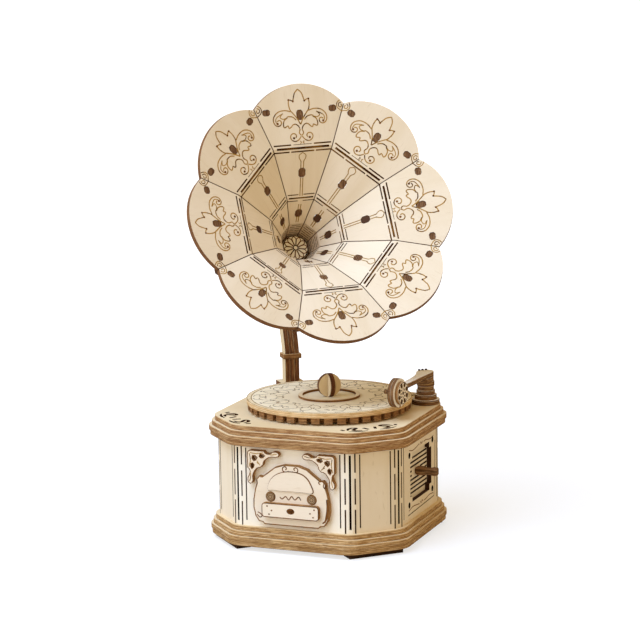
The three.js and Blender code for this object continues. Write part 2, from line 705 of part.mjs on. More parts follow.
function addHorn() {
  const group = new THREE.Group();
  const a = radians(hornTurn);
  const e = radians(hornRise);
  const axis = new THREE.Vector3(Math.cos(e) * Math.sin(a), -Math.cos(e) * Math.cos(a), Math.sin(e));
  const side = new THREE.Vector3(Math.cos(a), Math.sin(a), 0);
  const up = new THREE.Vector3().crossVectors(axis, side).multiplyScalar(-1);
  if (up.z < 0) up.multiplyScalar(-1);
  up.applyAxisAngle(axis, radians(hornRoll));
  const left = new THREE.Vector3().crossVectors(axis, up);
  group.applyMatrix4(new THREE.Matrix4().makeBasis(left, axis, up).setPosition(hornX, hornY, hornZ));
  model.add(group);
  const gore = firstGore();
  for (let i = 0; i < 8; i += 1)
    add(`hornGore${i + 1}`, gore.rotate([0, -45 * i, 0]), paleBirch, group);
  const [outerStart, outerEnd] = movedBack([bend3, mouth, neckEnd], gorePly).slice(1);
  const neck = [
    pointOn(mouth, neckEnd, glueGap), neckEnd,
    pointLevel(outerStart, outerEnd, neckEnd.y), pointOn(outerStart, outerEnd, glueGap)];
  add("hornNeck", eightSided(neck), birch, group);
  const rosette = rod(rosetteDisc, ply, 48).rotate([90, 0, 0]).translate([0, neckEnd.y + ply, 0]);
  add("hornRosette", rosette, paleBirch, group);
  add("hornRibCage", ribCage(), birch, group);
}

// The closed outline of a band of even width around a line, square at both ends.
function bandOutline(line, width) {
  const side = (sign) =>
    line.map((point, i) => {
      const before = line[Math.max(i - 1, 0)];
      const after = line[Math.min(i + 1, line.length - 1)];
      const dx = after[0] - before[0];
      const dy = after[1] - before[1];
      const length = Math.hypot(dx, dy);
      return [point[0] - (sign * width * dy) / length / 2, point[1] + (sign * width * dx) / length / 2];
    });
  return [...side(1), ...side(-1).reverse()];
}

function addPost() {
  const a = radians(hornTurn);
  const e = radians(hornRise);
  const group = new THREE.Group();
  group.position.set(hornX - postReach * Math.sin(a), hornY + postReach * Math.cos(a), 0);
  group.rotation.z = a - turn / 4;
  model.add(group);
  const hubBack = neckEnd.y - 2 * glueGap - hubPly;
  const end = [postReach + hubBack * Math.cos(e), hornZ + hubBack * Math.sin(e)];
  const before = [end[0] - postEnd * Math.cos(e), end[1] - postEnd * Math.sin(e)];
  const outline = bandOutline([...postLine, before, end], postDepth);
  const plate = (index) =>
    slab(outline, ply).rotate([90, 0, 0]).translate([0, ply / 2 + index * (ply + postPlateGap), 0]);
  add("postPlateLeft", plate(1), birch, group);
  add("postPlateMiddle", plate(0), birch, group);
  add("postPlateRight", plate(-1), birch, group);
  const foot = box(2 * postFootHalf, 2 * postFootHalf, postFootHeight);
  add("postFoot", foot.translate([0, 0, deck + postFootHeight / 2]), birch, group);
  const around = (gap) => [postDepth + 2 * gap, 3 * ply + 2 * postPlateGap + 2 * gap];
  const bore = box(...around(postPlateGap), 2 * ply);
  const collar = box(...around(collarProud), ply).subtract(bore);
  add("postCollar", collar.translate([0, 0, collarLow + ply / 2]), birch, group);
}

addTopPlates();
addWalls();
addBottomPlates();
addFeet();
addFrontPlate();
addPlaque();
addBrackets();
addSlatPanel();
addTurntable();
addKeyShaft();
addKey();
addTonearm();
addSoundBox();
addHorn();
addPost();

// The part's origin lies on the ground, under the middle of the whole model.
const whole = new THREE.Box3().setFromObject(part, true);
const middleOf = (axis) => (whole.min[axis] + whole.max[axis]) / 2;
model.position.set(-middleOf("x"), -middleOf("y"), -whole.min.z);

export default part;
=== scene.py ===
import math
import bpy
from mathutils import Matrix, Vector


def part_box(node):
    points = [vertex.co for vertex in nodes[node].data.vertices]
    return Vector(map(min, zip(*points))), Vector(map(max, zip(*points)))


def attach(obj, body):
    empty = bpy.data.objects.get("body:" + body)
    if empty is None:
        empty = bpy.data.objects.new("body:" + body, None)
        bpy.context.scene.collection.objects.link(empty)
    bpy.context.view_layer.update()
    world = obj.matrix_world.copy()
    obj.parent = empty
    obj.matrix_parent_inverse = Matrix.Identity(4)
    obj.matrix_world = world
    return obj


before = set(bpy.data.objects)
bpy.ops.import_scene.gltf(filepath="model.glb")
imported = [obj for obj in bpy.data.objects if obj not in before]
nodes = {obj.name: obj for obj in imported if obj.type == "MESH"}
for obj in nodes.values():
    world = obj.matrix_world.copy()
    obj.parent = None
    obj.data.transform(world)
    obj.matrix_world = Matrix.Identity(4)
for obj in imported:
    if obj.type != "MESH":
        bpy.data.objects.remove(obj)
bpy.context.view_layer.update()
print("frame loaded:", len(nodes), "plywood nodes")

mm = 0.001
turn = 2 * math.pi
gores = 8
caseCorners, caseSides = 4, 8
lowCorner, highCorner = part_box("topPlate1")
# upright axis of the case; every length below is in millimetres from it
caseAxis = Vector(((lowCorner.x + highCorner.x) / 2, (lowCorner.y + highCorner.y) / 2, 0))
right, back, above = Vector((1, 0, 0)), Vector((0, 1, 0)), Vector((0, 0, 1))

caseSizes = {"deck": 51.5, "wall": 40.1, "diagonalLeg": 15.5, "bend": 10, "cutCorner": 47}
tableSizes = {"x": 0.4, "y": 0, "top": 56.7, "label": 1, "knobTurn": -48}
armSizes = {"x": 34.998, "y": 21.999, "top": 65.11}
soundSizes = {"x": 35.498, "y": -12.901, "z": 62.96, "turn": -7, "front": 2.1, "ply": 1.4}
hornSizes = {
    "centre": (0.24, -5.7, 133.9), "turn": 39.6, "rise": 28.4, "roll": 2.1,
    "notch": (50.9, 0), "bend2": (33.65, -5.73), "bend3": (16.1, -20.8), "mouth": (8.63, -32.9),
    "neck": (6.6, -42.5),
}
postSizes = {"start": 1.05, "ply": 2.1, "collar": 1.8}


# one wire of a shader; sums of wires make maths nodes
class Wire:
    def __init__(self, graph, socket):
        self.graph, self.socket = graph, socket

    def sumOf(self, operation, first, second=0):
        return self.graph.node("ShaderNodeMath", {"operation": operation}, {0: first, 1: second})

    def __add__(self, other):
        return self.sumOf("ADD", self, other)

    def __radd__(self, other):
        return self.sumOf("ADD", other, self)

    def __sub__(self, other):
        return self.sumOf("SUBTRACT", self, other)

    def __rsub__(self, other):
        return self.sumOf("SUBTRACT", other, self)

    def __mul__(self, other):
        return self.sumOf("MULTIPLY", self, other)

    def __truediv__(self, other):
        return self.sumOf("DIVIDE", self, other)

    def __gt__(self, other):
        return self.sumOf("GREATER_THAN", self, other)

    def __abs__(self):
        return self.sumOf("ABSOLUTE", self)

    def fraction(self):
        return self.sumOf("FRACT", self)


class Graph:
    def __init__(self, tree):
        self.tree = tree

    def node(self, kind, settings=None, inputs=None, output=0):
        made = self.tree.nodes.new(kind)
        for key, value in (settings or {}).items():
            setattr(made, key, value)
        for key, value in (inputs or {}).items():
            if isinstance(value, Wire):
                self.tree.links.new(value.socket, made.inputs[key])
            else:
                made.inputs[key].default_value = value
        return Wire(self, made.outputs[output])

    def blend(self, amount, first, second):
        return self.node("ShaderNodeMix", {"data_type": "RGBA"}, {0: amount, 6: first, 7: second}, 2)

    def ease(self, value, start, end):
        return self.node("ShaderNodeMapRange", {"interpolation_type": "SMOOTHSTEP"},
                         {"Value": value, "From Min": start, "From Max": end})

    def along(self, vector, direction):
        return self.node("ShaderNodeVectorMath", {"operation": "DOT_PRODUCT"}, {0: vector, 1: direction}, 1)

    def vector(self, x, y, z):
        return self.node("ShaderNodeCombineXYZ", {}, {0: x, 1: y, 2: z})

    def noise(self, vector, scale, detail=2, rough=0.5):
        values = {"Vector": vector, "Scale": scale, "Detail": detail, "Roughness": rough}
        return self.node("ShaderNodeTexNoise", {}, values)

    def grain(self, art, run, side, deep):
        # noise stretched along the fibres
        long, wide, thick = art["scale"]
        return self.noise(self.vector(run * long, side * wide, deep * thick), 1, art["detail"], art["rough"])

    def shown(self, art, value):
        # where a noise is strong enough to show
        return self.ease(value, art["from"], art["to"]) * art["much"]

    def cameraSees(self):
        path = self.tree.nodes.new("ShaderNodeLightPath")
        return sum((Wire(self, path.outputs[k]) for k in ("Is Glossy Ray", "Is Transmission Ray")),
                   Wire(self, path.outputs["Is Camera Ray"]))


# the curve of screen colours: straight up to its knee, then a power
toneCurve = {"full": 255, "knee": 0.04045, "slope": 12.92, "offset": 0.055, "power": 2.4}


def colour(code):
    parts = [int(code[i:i + 2], 16) / toneCurve["full"] for i in (0, 2, 4)]
    offset = toneCurve["offset"]
    low = [p / toneCurve["slope"] for p in parts]
    high = [((p + offset) / (1 + offset)) ** toneCurve["power"] for p in parts]
    return tuple(a if p <= toneCurve["knee"] else b for p, a, b in zip(parts, low, high)) + (1,)


class Finish(Graph):
    # a material on the object's own coordinates, in millimetres
    def __init__(self, name):
        self.material = bpy.data.materials.new(name)
        self.material.use_nodes = True
        super().__init__(self.material.node_tree)
        self.shader = self.tree.nodes["Principled BSDF"]
        place = self.tree.nodes.new("ShaderNodeTexCoord")
        self.facing = Wire(self, place.outputs["Normal"])
        metres = Wire(self, place.outputs["Object"])
        self.place = self.node("ShaderNodeVectorMath", {"operation": "SCALE"}, {0: metres, "Scale": 1 / mm})

    def shine(self, roughness, specular):
        self.shader.inputs["Specular IOR Level"].default_value = specular
        self.feed("Roughness", roughness)

    def feed(self, name, value):
        if isinstance(value, Wire):
            self.tree.links.new(value.socket, self.shader.inputs[name])
        else:
            self.shader.inputs[name].default_value = value

    def relief(self, height, strength, distance):
        bump = self.node("ShaderNodeBump", {}, {
            "Height": height, "Strength": strength, "Distance": distance * mm,
        })
        self.feed("Normal", bump)


# plywood: a pale face with grain, and a laser-burnt edge that shows its veneers, with a band of painted shade where
# each ply meets the one below it
toneNames = ("face", "shade", "pore", "edge", "streak", "scorch", "line")
plyTones = {
    "pale": "E9D6B7 DFC9A4 CDB48C 8E6038 D9B27C 54331A 5E3B1B",
    "deck": "E8D0A4 DCBF8C C6A474 B28759 D9B27C 7A4E28 5E3719",
    "base": "E8D0A4 DCBF8C C6A474 BE955F E2BE8A 7E5430 603E1E",
    "front": "F0DEC3 E6CFAE CFB58C A87845 D0A56C 55301A 3A200D",
    # golden: the disc's own pale tone, raised further as painted light against the horn's shadow; the rosette shares
    # it
    "golden": "FBEDCC F2E0B8 D4BC94 E4BF88 F0D4A6 BE9054 94693A",
    "label": "F0DCB8 E2C898 C6A678 8A5C32 B07E48 4A2A14 3A200E",
    "wall": "E9D6B7 DFC9A4 CDB48C 4A2A14 6A4222 26140A 3A200D",
    # the toothed ring: burnt plywood darkened as painted shade under the disc; the post collar shares this look
    "shadedTeeth": "C9A676 A8814F 8A6236 9A6C40 B98C58 54341C 3A200E",
    "arm": "FBF3E4 EADBC0 B09468 845C38 BC925C 361D0E 1C0F06",
    "post": "E2CDA5 D0B588 A98A5C 7A4C2A AC7E4E 401F0E 1C0C04",
    "knob": "E2CDA5 CDB080 A98A5C 6A3D22 96683E 3A1C0C 2A1409",
    "key": "A87E58 6E4630 40241A 7A5430 B48A5C 24120A 150A05",
    "tenon": "563823 40281A 2C190C 66452C 94704A 2E190C 8A6240",
    "peg": "B89870 96744E 6A4A2E 6B4526 94693C 3A2010 2A1408",
    # the feet: burnt plywood, coloured darker still as painted shade under the case
    "burntShadedFoot": "4A2E1A 36200F 241208 38210F 5A3A20 1C0E06 120803",
}
plyLooks = {name: dict(zip(toneNames, codes.split())) for name, codes in plyTones.items()}
# grain of a face and of a cut edge: noise scales per millimetre along, across and into the ply, its octaves,
# the values between which it shows, and how much
plyGrain = {
    "broad": {"scale": (0.012, 0.09, 0.05), "detail": 3, "rough": 0.5, "from": 0.35, "to": 0.7, "much": 0.6},
    "fine": {"scale": (0.05, 0.75, 0.3), "detail": 4, "rough": 0.6, "from": 0.5, "to": 0.8, "much": 0.3},
    "pores": {"scale": (0.22, 2.4, 0.3), "detail": 1, "rough": 0.5, "from": 0.66, "to": 0.76, "much": 0.35},
}
plyEdge = {
    "thick": 2, "veneer": 0.36,
    "fibre": {"scale": (0.16, 0.16, 2.4), "detail": 3, "rough": 0.6, "from": 0.46, "to": 0.62, "much": 0.85},
    "vein": {"scale": (0.28, 0.28, 4.2), "detail": 2, "rough": 0.6, "from": 0.5, "to": 0.64, "much": 0.75},
    "burn": {"scale": (1.9, 1.9, 0.5), "detail": 1, "rough": 0.5, "from": 0.55, "to": 0.8, "much": 0.25},
    "cloud": {"scale": (0.07, 0.07, 0.3), "detail": 2, "rough": 0.5, "from": 0.5, "to": 0.72, "much": 0.3},
    "glue": {"from": 0.035, "to": 0.119, "least": 0.3},
    # painted shade: a dark band at the bottom of each ply, where it meets the one below it
    "under": {"from": 0.34, "to": 0.06, "much": 0.9},
    "rim": {"from": 1.8, "to": 1.92, "much": 0.3},
}
plySurface = {
    "faceFrom": 0.45, "faceTo": 0.6, "rough": 0.66, "edgeRough": 0.15, "grainRough": 0.12, "specular": 0.12,
    "grainHigh": 0.6, "bump": 0.25, "high": 0.12,
}
inlaySurface = {
    "patch": {"detail": 3, "rough": 0.6, "from": 0.48, "to": 0.66, "much": 1},
    "speck": {"scale": 3.2, "detail": 1, "from": 0.55, "to": 0.8, "much": 0.3},
    "rough": 0.8, "bump": 0.3, "high": 0.05,
}


def grainOn(finish, look, run, side, deep):
    broad, fine, pores = (finish.grain(plyGrain[k], run, side, deep) for k in ("broad", "fine", "pores"))
    tone = finish.blend(finish.shown(plyGrain["broad"], broad), colour(look["face"]), colour(look["shade"]))
    tone = finish.blend(finish.shown(plyGrain["fine"], fine), tone, colour(look["shade"]))
    tone = finish.blend(finish.shown(plyGrain["pores"], pores), tone, colour(look["pore"]))
    return tone, fine


def edgeOn(finish, look, deep, run, side, thick):
    layer = (deep / thick).fraction() * 2
    joint = abs(abs(layer - 1) - plyEdge["veneer"])
    kinds = ("fibre", "vein", "burn", "cloud")
    fibre, vein, burn, cloud = (finish.grain(plyEdge[k], run, side, deep) for k in kinds)
    tone = finish.blend(finish.shown(plyEdge["fibre"], fibre), colour(look["edge"]), colour(look["streak"]))
    for key, value in (("vein", vein), ("burn", burn), ("cloud", cloud)):
        tone = finish.blend(finish.shown(plyEdge[key], value), tone, colour(look["scorch"]))
    glue = 1 - finish.ease(joint, plyEdge["glue"]["from"], plyEdge["glue"]["to"])
    tone = finish.blend(glue * (cloud + plyEdge["glue"]["least"]), tone, colour(look["line"]))
    # painted shade along the bottom of each ply
    tone = finish.blend(finish.shown(plyEdge["under"], layer), tone, colour(look["line"]))
    return finish.blend(finish.shown(plyEdge["rim"], layer), tone, colour(look["face"])), fibre


def plywood(name, look, across, start, grain, thick=plyEdge["thick"]):
    across, grain = Vector(across).normalized(), Vector(grain).normalized()
    finish, art = Finish(name), plySurface
    deep = finish.along(finish.place, across) - start
    run = finish.along(finish.place, grain)
    side = finish.along(finish.place, across.cross(grain))
    face, fine = grainOn(finish, look, run, side, deep)
    edge, strip = edgeOn(finish, look, deep, run, side, thick)
    cut = 1 - finish.ease(abs(finish.along(finish.facing, across)), art["faceFrom"], art["faceTo"])
    finish.feed("Base Color", finish.blend(cut, face, edge))
    finish.shine(art["rough"] + cut * art["edgeRough"] + fine * art["grainRough"], art["specular"])
    finish.relief(fine * art["grainHigh"] + strip * cut, art["bump"], art["high"])
    return finish.material


def inlay(name, code, deeper, patches=0.55):
    # a laser-burnt line: uneven along its run, as the beam slows in curves
    finish, art = Finish(name), inlaySurface
    patch = finish.noise(finish.place, patches, art["patch"]["detail"], art["patch"]["rough"])
    speck = finish.noise(finish.place, art["speck"]["scale"], art["speck"]["detail"])
    tone = finish.blend(finish.shown(art["patch"], patch), colour(code), colour(deeper))
    tone = finish.blend(finish.shown(art["speck"], speck), tone, colour(deeper))
    finish.feed("Base Color", tone)
    finish.shine(art["rough"], 0)
    finish.relief(speck, art["bump"], art["high"])
    return finish.material


def assign(material, *names):
    for name in names:
        if not nodes[name].material_slots:
            nodes[name].data.materials.append(None)
        for entry in nodes[name].material_slots:
            entry.link = "OBJECT"
            entry.material = material


# drawing planes, and bars laid along drawn lines
def drawingPlane(origin, across, upward):
    across, upward = Vector(across).normalized(), Vector(upward).normalized()
    place = Matrix((across, upward, across.cross(upward))).transposed().to_4x4() @ Matrix.Scale(mm, 4)
    place.translation = caseAxis + Vector(origin) * mm
    return place


def smoothLine(points, closed=False, step=0.4):
    if len(points) < 3:
        return [Vector(p) for p in points]
    knots = [Vector(p) for p in points]
    made = []
    spans = len(knots) if closed else len(knots) - 1
    for i in range(spans):
        b, c = knots[i], knots[(i + 1) % len(knots)]
        a = knots[i - 1] if closed or i else b + (b - c)
        d = knots[(i + 2) % len(knots)] if closed or i < spans - 1 else c + (c - b)
        count = max(2, math.ceil((c - b).length / step))
        for j in range(count):
            t = j / count
            bend, twist = 2 * a - 5 * b + 4 * c - d, 3 * b - a - 3 * c + d
            made.append(0.5 * (2 * b + (c - a) * t + bend * t * t + twist * t ** 3))
    return made if closed else made + [knots[-1]]


def circle(radius, count, x=0, y=0, high=1):
    angles = [turn * i / count for i in range(count)]
    return [(x + radius * math.cos(angle), y + high * radius * math.sin(angle)) for angle in angles]


# how far engraved lines, dots and rims stand proud of their face
lineHigh, dotHigh, rimHigh = 0.03, 0.04, 0.05


class Bars:
    # closed bars laid along lines of one drawing plane, a little proud of its surface
    def __init__(self, proud=lineHigh, sunk=0.2):
        self.points, self.faces = [], []
        self.proud, self.sunk = proud, sunk

    def bar(self, line, width, closed=False, smooth=True):
        ends = width if isinstance(width, (list, tuple)) else (width, width)
        path = smoothLine(line, closed) if smooth else [Vector(p) for p in line]
        first, count = len(self.points), len(path)
        for i, spot in enumerate(path):
            before = path[i - 1] if closed or i else spot
            after = path[(i + 1) % count] if closed or i < count - 1 else spot
            way = (after - before).normalized()
            share = i / (count - 1) * (len(ends) - 1)
            k = min(int(share), len(ends) - 2)
            half = (ends[k] + (ends[k + 1] - ends[k]) * (share - k)) / 2
            off = Vector((-way.y, way.x)) * half
            for side, height in ((1, -self.sunk), (-1, -self.sunk), (-1, self.proud), (1, self.proud)):
                self.points.append((spot.x + side * off.x, spot.y + side * off.y, height))
        for i in range(count if closed else count - 1):
            a, b = first + 4 * i, first + 4 * ((i + 1) % count)
            for k in range(4):
                self.faces.append((a + k, b + k, b + (k + 1) % 4, a + (k + 1) % 4))
        if not closed:
            last = first + 4 * (count - 1)
            self.faces += [(first, first + 1, first + 2, first + 3), (last + 3, last + 2, last + 1, last)]
        return self

    def mirrored(self, lines, width):
        for line in lines:
            self.bar(line, width).bar([(-x, y) for x, y in line], width)
        return self

    def ring(self, radius, sides, width, x=0, y=0):
        return self.bar(circle(radius, sides, x, y), width, closed=True, smooth=False)

    def patch(self, outline):
        first, count = len(self.points), len(outline)
        for height in (-self.sunk, self.proud):
            self.points += [(p[0], p[1], height) for p in outline]
        self.faces.append(tuple(first + i for i in reversed(range(count))))
        self.faces.append(tuple(first + count + i for i in range(count)))
        for i in range(count):
            j = (i + 1) % count
            self.faces.append((first + i, first + j, first + count + j, first + count + i))
        return self

    def dot(self, x, y, radius, high=1, sides=12):
        return self.patch(circle(radius, sides, x, y, high))

    def dots(self, spots):
        for x, y, radius in spots:
            self.dot(x, y, radius).dot(-x, y, radius)
        return self

    def mesh(self, name, place):
        made = bpy.data.meshes.new(name)
        made.from_pydata([place @ Vector(p) for p in self.points], [], self.faces)
        made.update()
        return made


def joined(name, meshes):
    points, faces = [], []
    for mesh in meshes:
        first = len(points)
        points += [v.co.copy() for v in mesh.vertices]
        faces += [tuple(first + i for i in face.vertices) for face in mesh.polygons]
    made = bpy.data.meshes.new(name)
    made.from_pydata(points, [], faces)
    made.update()
    return made


def piece(name, mesh, material, body):
    made = bpy.data.objects.new(name, mesh)
    bpy.context.scene.collection.objects.link(made)
    mesh.materials.clear()
    mesh.materials.append(material)
    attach(made, body)


# geometry nodes: copies of a drawn piece, each turned further than the last
def turnedCopies():
    tree = bpy.data.node_groups.new("turnedCopies", "GeometryNodeTree")
    tree.interface.new_socket("Geometry", in_out="OUTPUT", socket_type="NodeSocketGeometry")
    kinds = {"Geometry": "Geometry", "Copies": "Int", "Spin": "Vector", "Centre": "Vector", "Lean": "Vector",
             "Finish": "Material"}
    for name, kind in kinds.items():
        tree.interface.new_socket(name, in_out="INPUT", socket_type="NodeSocket" + kind)
    new, link = tree.nodes.new, tree.links.new
    start, end = new("NodeGroupInput"), new("NodeGroupOutput")
    spots, index, spin = new("GeometryNodePoints"), new("GeometryNodeInputIndex"), new("ShaderNodeVectorMath")
    spin.operation = "SCALE"
    copies, real = new("GeometryNodeInstanceOnPoints"), new("GeometryNodeRealizeInstances")
    place, paint = new("GeometryNodeTransform"), new("GeometryNodeSetMaterial")
    link(start.outputs["Copies"], spots.inputs["Count"])
    link(start.outputs["Spin"], spin.inputs[0])
    link(index.outputs[0], spin.inputs["Scale"])
    link(spots.outputs[0], copies.inputs["Points"])
    link(start.outputs["Geometry"], copies.inputs["Instance"])
    link(spin.outputs[0], copies.inputs["Rotation"])
    link(copies.outputs[0], place.inputs["Geometry"])
    link(start.outputs["Centre"], place.inputs["Translation"])
    link(start.outputs["Lean"], place.inputs["Rotation"])
    link(place.outputs[0], real.inputs[0])
    link(real.outputs[0], paint.inputs["Geometry"])
    link(start.outputs["Finish"], paint.inputs["Material"])
    link(paint.outputs[0], end.inputs[0])
    return tree


copiesTree = turnedCopies()


def repeated(name, mesh, copies, spin, centre, lean, material, body):
    made = bpy.data.objects.new(name, mesh)
    bpy.context.scene.collection.objects.link(made)
    modifier = made.modifiers.new("copies", "NODES")
    modifier.node_group = copiesTree
    values = {
        "Copies": copies, "Spin": tuple(spin), "Centre": tuple(centre), "Lean": tuple(lean), "Finish": material,
    }
    for item in copiesTree.interface.items_tree:
        if item.in_out == "INPUT" and item.name in values:
            modifier[item.identifier] = values[item.name]
    bpy.context.view_layer.update()
    plain = bpy.data.meshes.new_from_object(made.evaluated_get(bpy.context.evaluated_depsgraph_get()))
    made.modifiers.remove(modifier)
    made.data = plain
    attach(made, body)


def around(name, mesh, copies, centre, material, body):
    repeated(name, mesh, copies, (0, 0, turn / copies), centre, (0, 0, 0), material, body)


# finishes of the plywood nodes
upright, level = (0, 0, 1), (1, 0, 0)
flatPly = {
    "deckPly": ("deck", ["topPlate1"], caseSizes["deck"]),
    "topPly": ("deck", ["topPlate2", "topPlate3", "topPlate4"], caseSizes["deck"]),
    "basePly": ("base", ["bottomPlate1", "bottomPlate2", "bottomPlate3", "bottomPlate4"], 0),
    # the feet's dark look is partly burnt wood and partly painted shade under the case
    "footPly": ("burntShadedFoot", ["footFrontRight", "footBackRight", "footBackLeft", "footFrontLeft"], 0),
    # the disc's face is partly painted light, made paler to offset the horn's shadow
    "tablePly": ("golden", ["turntableDisc"], tableSizes["top"]),
    "labelPly": ("label", ["labelRing"], tableSizes["top"] - tableSizes["label"]),
    # the ring's darker face and edge are partly painted shade under the disc
    "toothPly": ("shadedTeeth", ["turntableRing"], tableSizes["top"]),
    "armPly": ("arm", ["armBaseRing", "armPillar", "armPlateLower", "armPlateUpper"], armSizes["top"]),
    "drivePly": ("deck", ["spindle", "crownWheel", "spindleBearing", "armPin"], 0),
    "postFootPly": ("post", ["postFoot"], caseSizes["deck"]),
    # the collar takes the toothed ring's look, its painted shade included
    "collarPly": ("shadedTeeth", ["postCollar"], postSizes["collar"]),
}
for name, (look, members, start) in flatPly.items():
    assign(plywood(name, plyLooks[look], upright, start, level), *members)
inward, frontStart = (0, 1, 0), 0.1
assign(plywood("frontPly", plyLooks["front"], inward, frontStart, level), "frontArchPlate", "frontPlaque",
       "cornerBracketLeft", "cornerBracketRight")
assign(plywood("slatPly", plyLooks["wall"], level, 0, inward), "slatPanel")
assign(plywood("pegPly", plyLooks["peg"], inward, 0, level), "frontRosetteLeft", "frontRosetteRight")
assign(plywood("keyPlyFlat", plyLooks["key"], inward, 0, level), "keyPlateA")
assign(plywood("keyPlyUpright", plyLooks["key"], upright, 0, level), "keyPlateB")
assign(plywood("shaftPly", plyLooks["deck"], level, 0, inward), "keyShaft", "keyPinion", "shaftBracket")
soundAngle = math.radians(soundSizes["turn"])
soundFacing = Vector((math.cos(soundAngle), math.sin(soundAngle), 0))
soundSpot = tuple(soundSizes[k] for k in ("x", "y", "z"))
soundMiddle = caseAxis / mm + Vector(soundSpot)
soundStart, soundPly = soundMiddle.dot(soundFacing) + soundSizes["front"], soundSizes["ply"]
for name, look, member in (("soundPly", "arm", "soundBoxBody"), ("grillePly", "front", "soundBoxGrille")):
    assign(plywood(name, plyLooks[look], soundFacing, soundStart, upright, soundPly), member)
assign(plywood("hubPly", plyLooks["key"], soundFacing, 0, upright), "soundBoxHub", "needle")
knobTurn = math.radians(tableSizes["knobTurn"])
knobAcross = Vector((math.cos(knobTurn), math.sin(knobTurn), 0))
knobOther = Vector((-math.sin(knobTurn), math.cos(knobTurn), 0))
assign(plywood("knobPly", plyLooks["knob"], knobAcross, 0, upright), "knobDiscA")
assign(plywood("knobEdgePly", plyLooks["knob"], knobOther, 0, upright), "knobDiscB")


wallSurface = {
    "across": (1, -0.6, 0), "into": (0.6, 1, 0), "jambFrom": 27, "jambTo": 24, "sillFrom": 0.4, "sillTo": 0.6,
    # the pale colour here, with the share below it, is painted light laid on the wall's front face
    "scorch": 0.6, "scorchDetail": 3, "pale": "FBEFD8", "front": (0, -1, 0),
    "paintedFrontLight": {"from": 0.8, "to": 0.98, "much": 0.85},
    "rough": 0.66, "grainRough": 0.14, "specular": 0.12, "bump": 0.25, "high": 0.1,
}


def wallFinish(name, look):
    # the bent wall: its face is upright everywhere, its grain runs up and down, and its front face is painted paler
    # as painted light from the front
    finish, art = Finish(name), wallSurface
    run, side, deep = (finish.along(finish.place, way) for way in (upright, art["across"], art["into"]))
    face, fine = grainOn(finish, look, run, side, deep)
    jamb = finish.ease(abs(finish.along(finish.facing, finish.place)), art["jambFrom"], art["jambTo"])
    sill = finish.ease(abs(finish.along(finish.facing, upright)), art["sillFrom"], art["sillTo"])
    cut = jamb.sumOf("MAXIMUM", jamb, sill)
    scorch = finish.noise(finish.place, art["scorch"], art["scorchDetail"])
    edge = finish.blend(scorch, colour(look["edge"]), colour(look["scorch"]))
    # painted light: faces turned to the front are blended towards a paler colour
    paintedFrontLight = finish.shown(art["paintedFrontLight"], finish.along(finish.facing, art["front"]))
    face = finish.blend(paintedFrontLight, face, colour(art["pale"]))
    finish.feed("Base Color", finish.blend(cut, face, edge))
    finish.shine(art["rough"] + fine * art["grainRough"], art["specular"])
    finish.relief(fine, art["bump"], art["high"])
    return finish.material


assign(wallFinish("wallPly", plyLooks["wall"]), "wallFront", "wallBack")

hornTurn, hornRise, hornRoll = (math.radians(hornSizes[k]) for k in ("turn", "rise", "roll"))
flatShare = math.cos(hornRise)
hornAxis = Vector((flatShare * math.sin(hornTurn), -flatShare * math.cos(hornTurn), math.sin(hornRise)))
hornSide = Vector((math.cos(hornTurn), math.sin(hornTurn), 0))
hornUp = Matrix.Rotation(hornRoll, 3, hornAxis) @ hornSide.cross(hornAxis)
hornLeft = hornAxis.cross(hornUp)
hornCentre = caseAxis + Vector(hornSizes["centre"]) * mm
hornBasis = Matrix((hornLeft, hornAxis, hornUp)).transposed()
hornLean = hornBasis.to_euler()
goreSurface = {
    # the neck's brown colour and its share are painted shade deep inside the horn
    "rimFrom": 0.46, "rimTo": 0.36, "neckFrom": -32.4, "neckBlend": 1.5, "neck": 0.3, "neckShadeTone": "A57F50",
    "seamFrom": 0.288, "seamTo": 0.12, "seam": 0.85, "seamTone": "4A2A14", "offset": 8.5, "slope": -0.6,
    "sideStep": 31, "deepStep": 7, "scorch": 0.5, "scorchDetail": 3,
    "rough": 0.64, "grainRough": 0.14, "specular": 0.14, "bump": 0.22, "high": 0.1,
}


def goreFinish(name, look):
    # petals, bell, throat and neck: grain runs along each gore, seams and rims are burnt, and the deep neck is
    # browned as painted shade
    finish, art = Finish(name), goreSurface
    both = {0: finish.place, 1: tuple(hornCentre / mm)}
    off = finish.node("ShaderNodeVectorMath", {"operation": "SUBTRACT"}, both)
    depth, x, z = (finish.along(off, way) for way in (hornAxis, hornLeft, hornUp))
    radius = depth.sumOf("SQRT", x * x + z * z)
    angle = depth.sumOf("ARCTAN2", x, z) * (gores / turn) + art["offset"]
    gore = depth.sumOf("FLOOR", angle)
    aside = angle - gore - 0.5
    run, side = radius + depth * art["slope"], aside * radius * (turn / gores)
    face, fine = grainOn(finish, look, run, side + gore * art["sideStep"], gore * art["deepStep"])
    rim = finish.ease(abs(finish.along(finish.facing, hornAxis)), art["rimFrom"], art["rimTo"])
    cut = rim * (depth > art["neckFrom"])
    seam = finish.ease((0.5 - abs(aside)) * radius * (turn / gores), art["seamFrom"], art["seamTo"])
    scorch = finish.noise(finish.place, art["scorch"], art["scorchDetail"])
    edge = finish.blend(scorch, colour(look["edge"]), colour(look["scorch"]))
    # painted shade: past the neck's start the colour is blended towards brown
    shadedNeck = finish.ease(depth, art["neckFrom"], art["neckFrom"] - art["neckBlend"])
    tone = finish.blend(shadedNeck * art["neck"], face, colour(art["neckShadeTone"]))
    tone = finish.blend(seam * art["seam"], tone, colour(art["seamTone"]))
    finish.feed("Base Color", finish.blend(cut, tone, edge))
    finish.shine(art["rough"] + fine * art["grainRough"], art["specular"])
    finish.relief(fine, art["bump"], art["high"])
    return finish.material


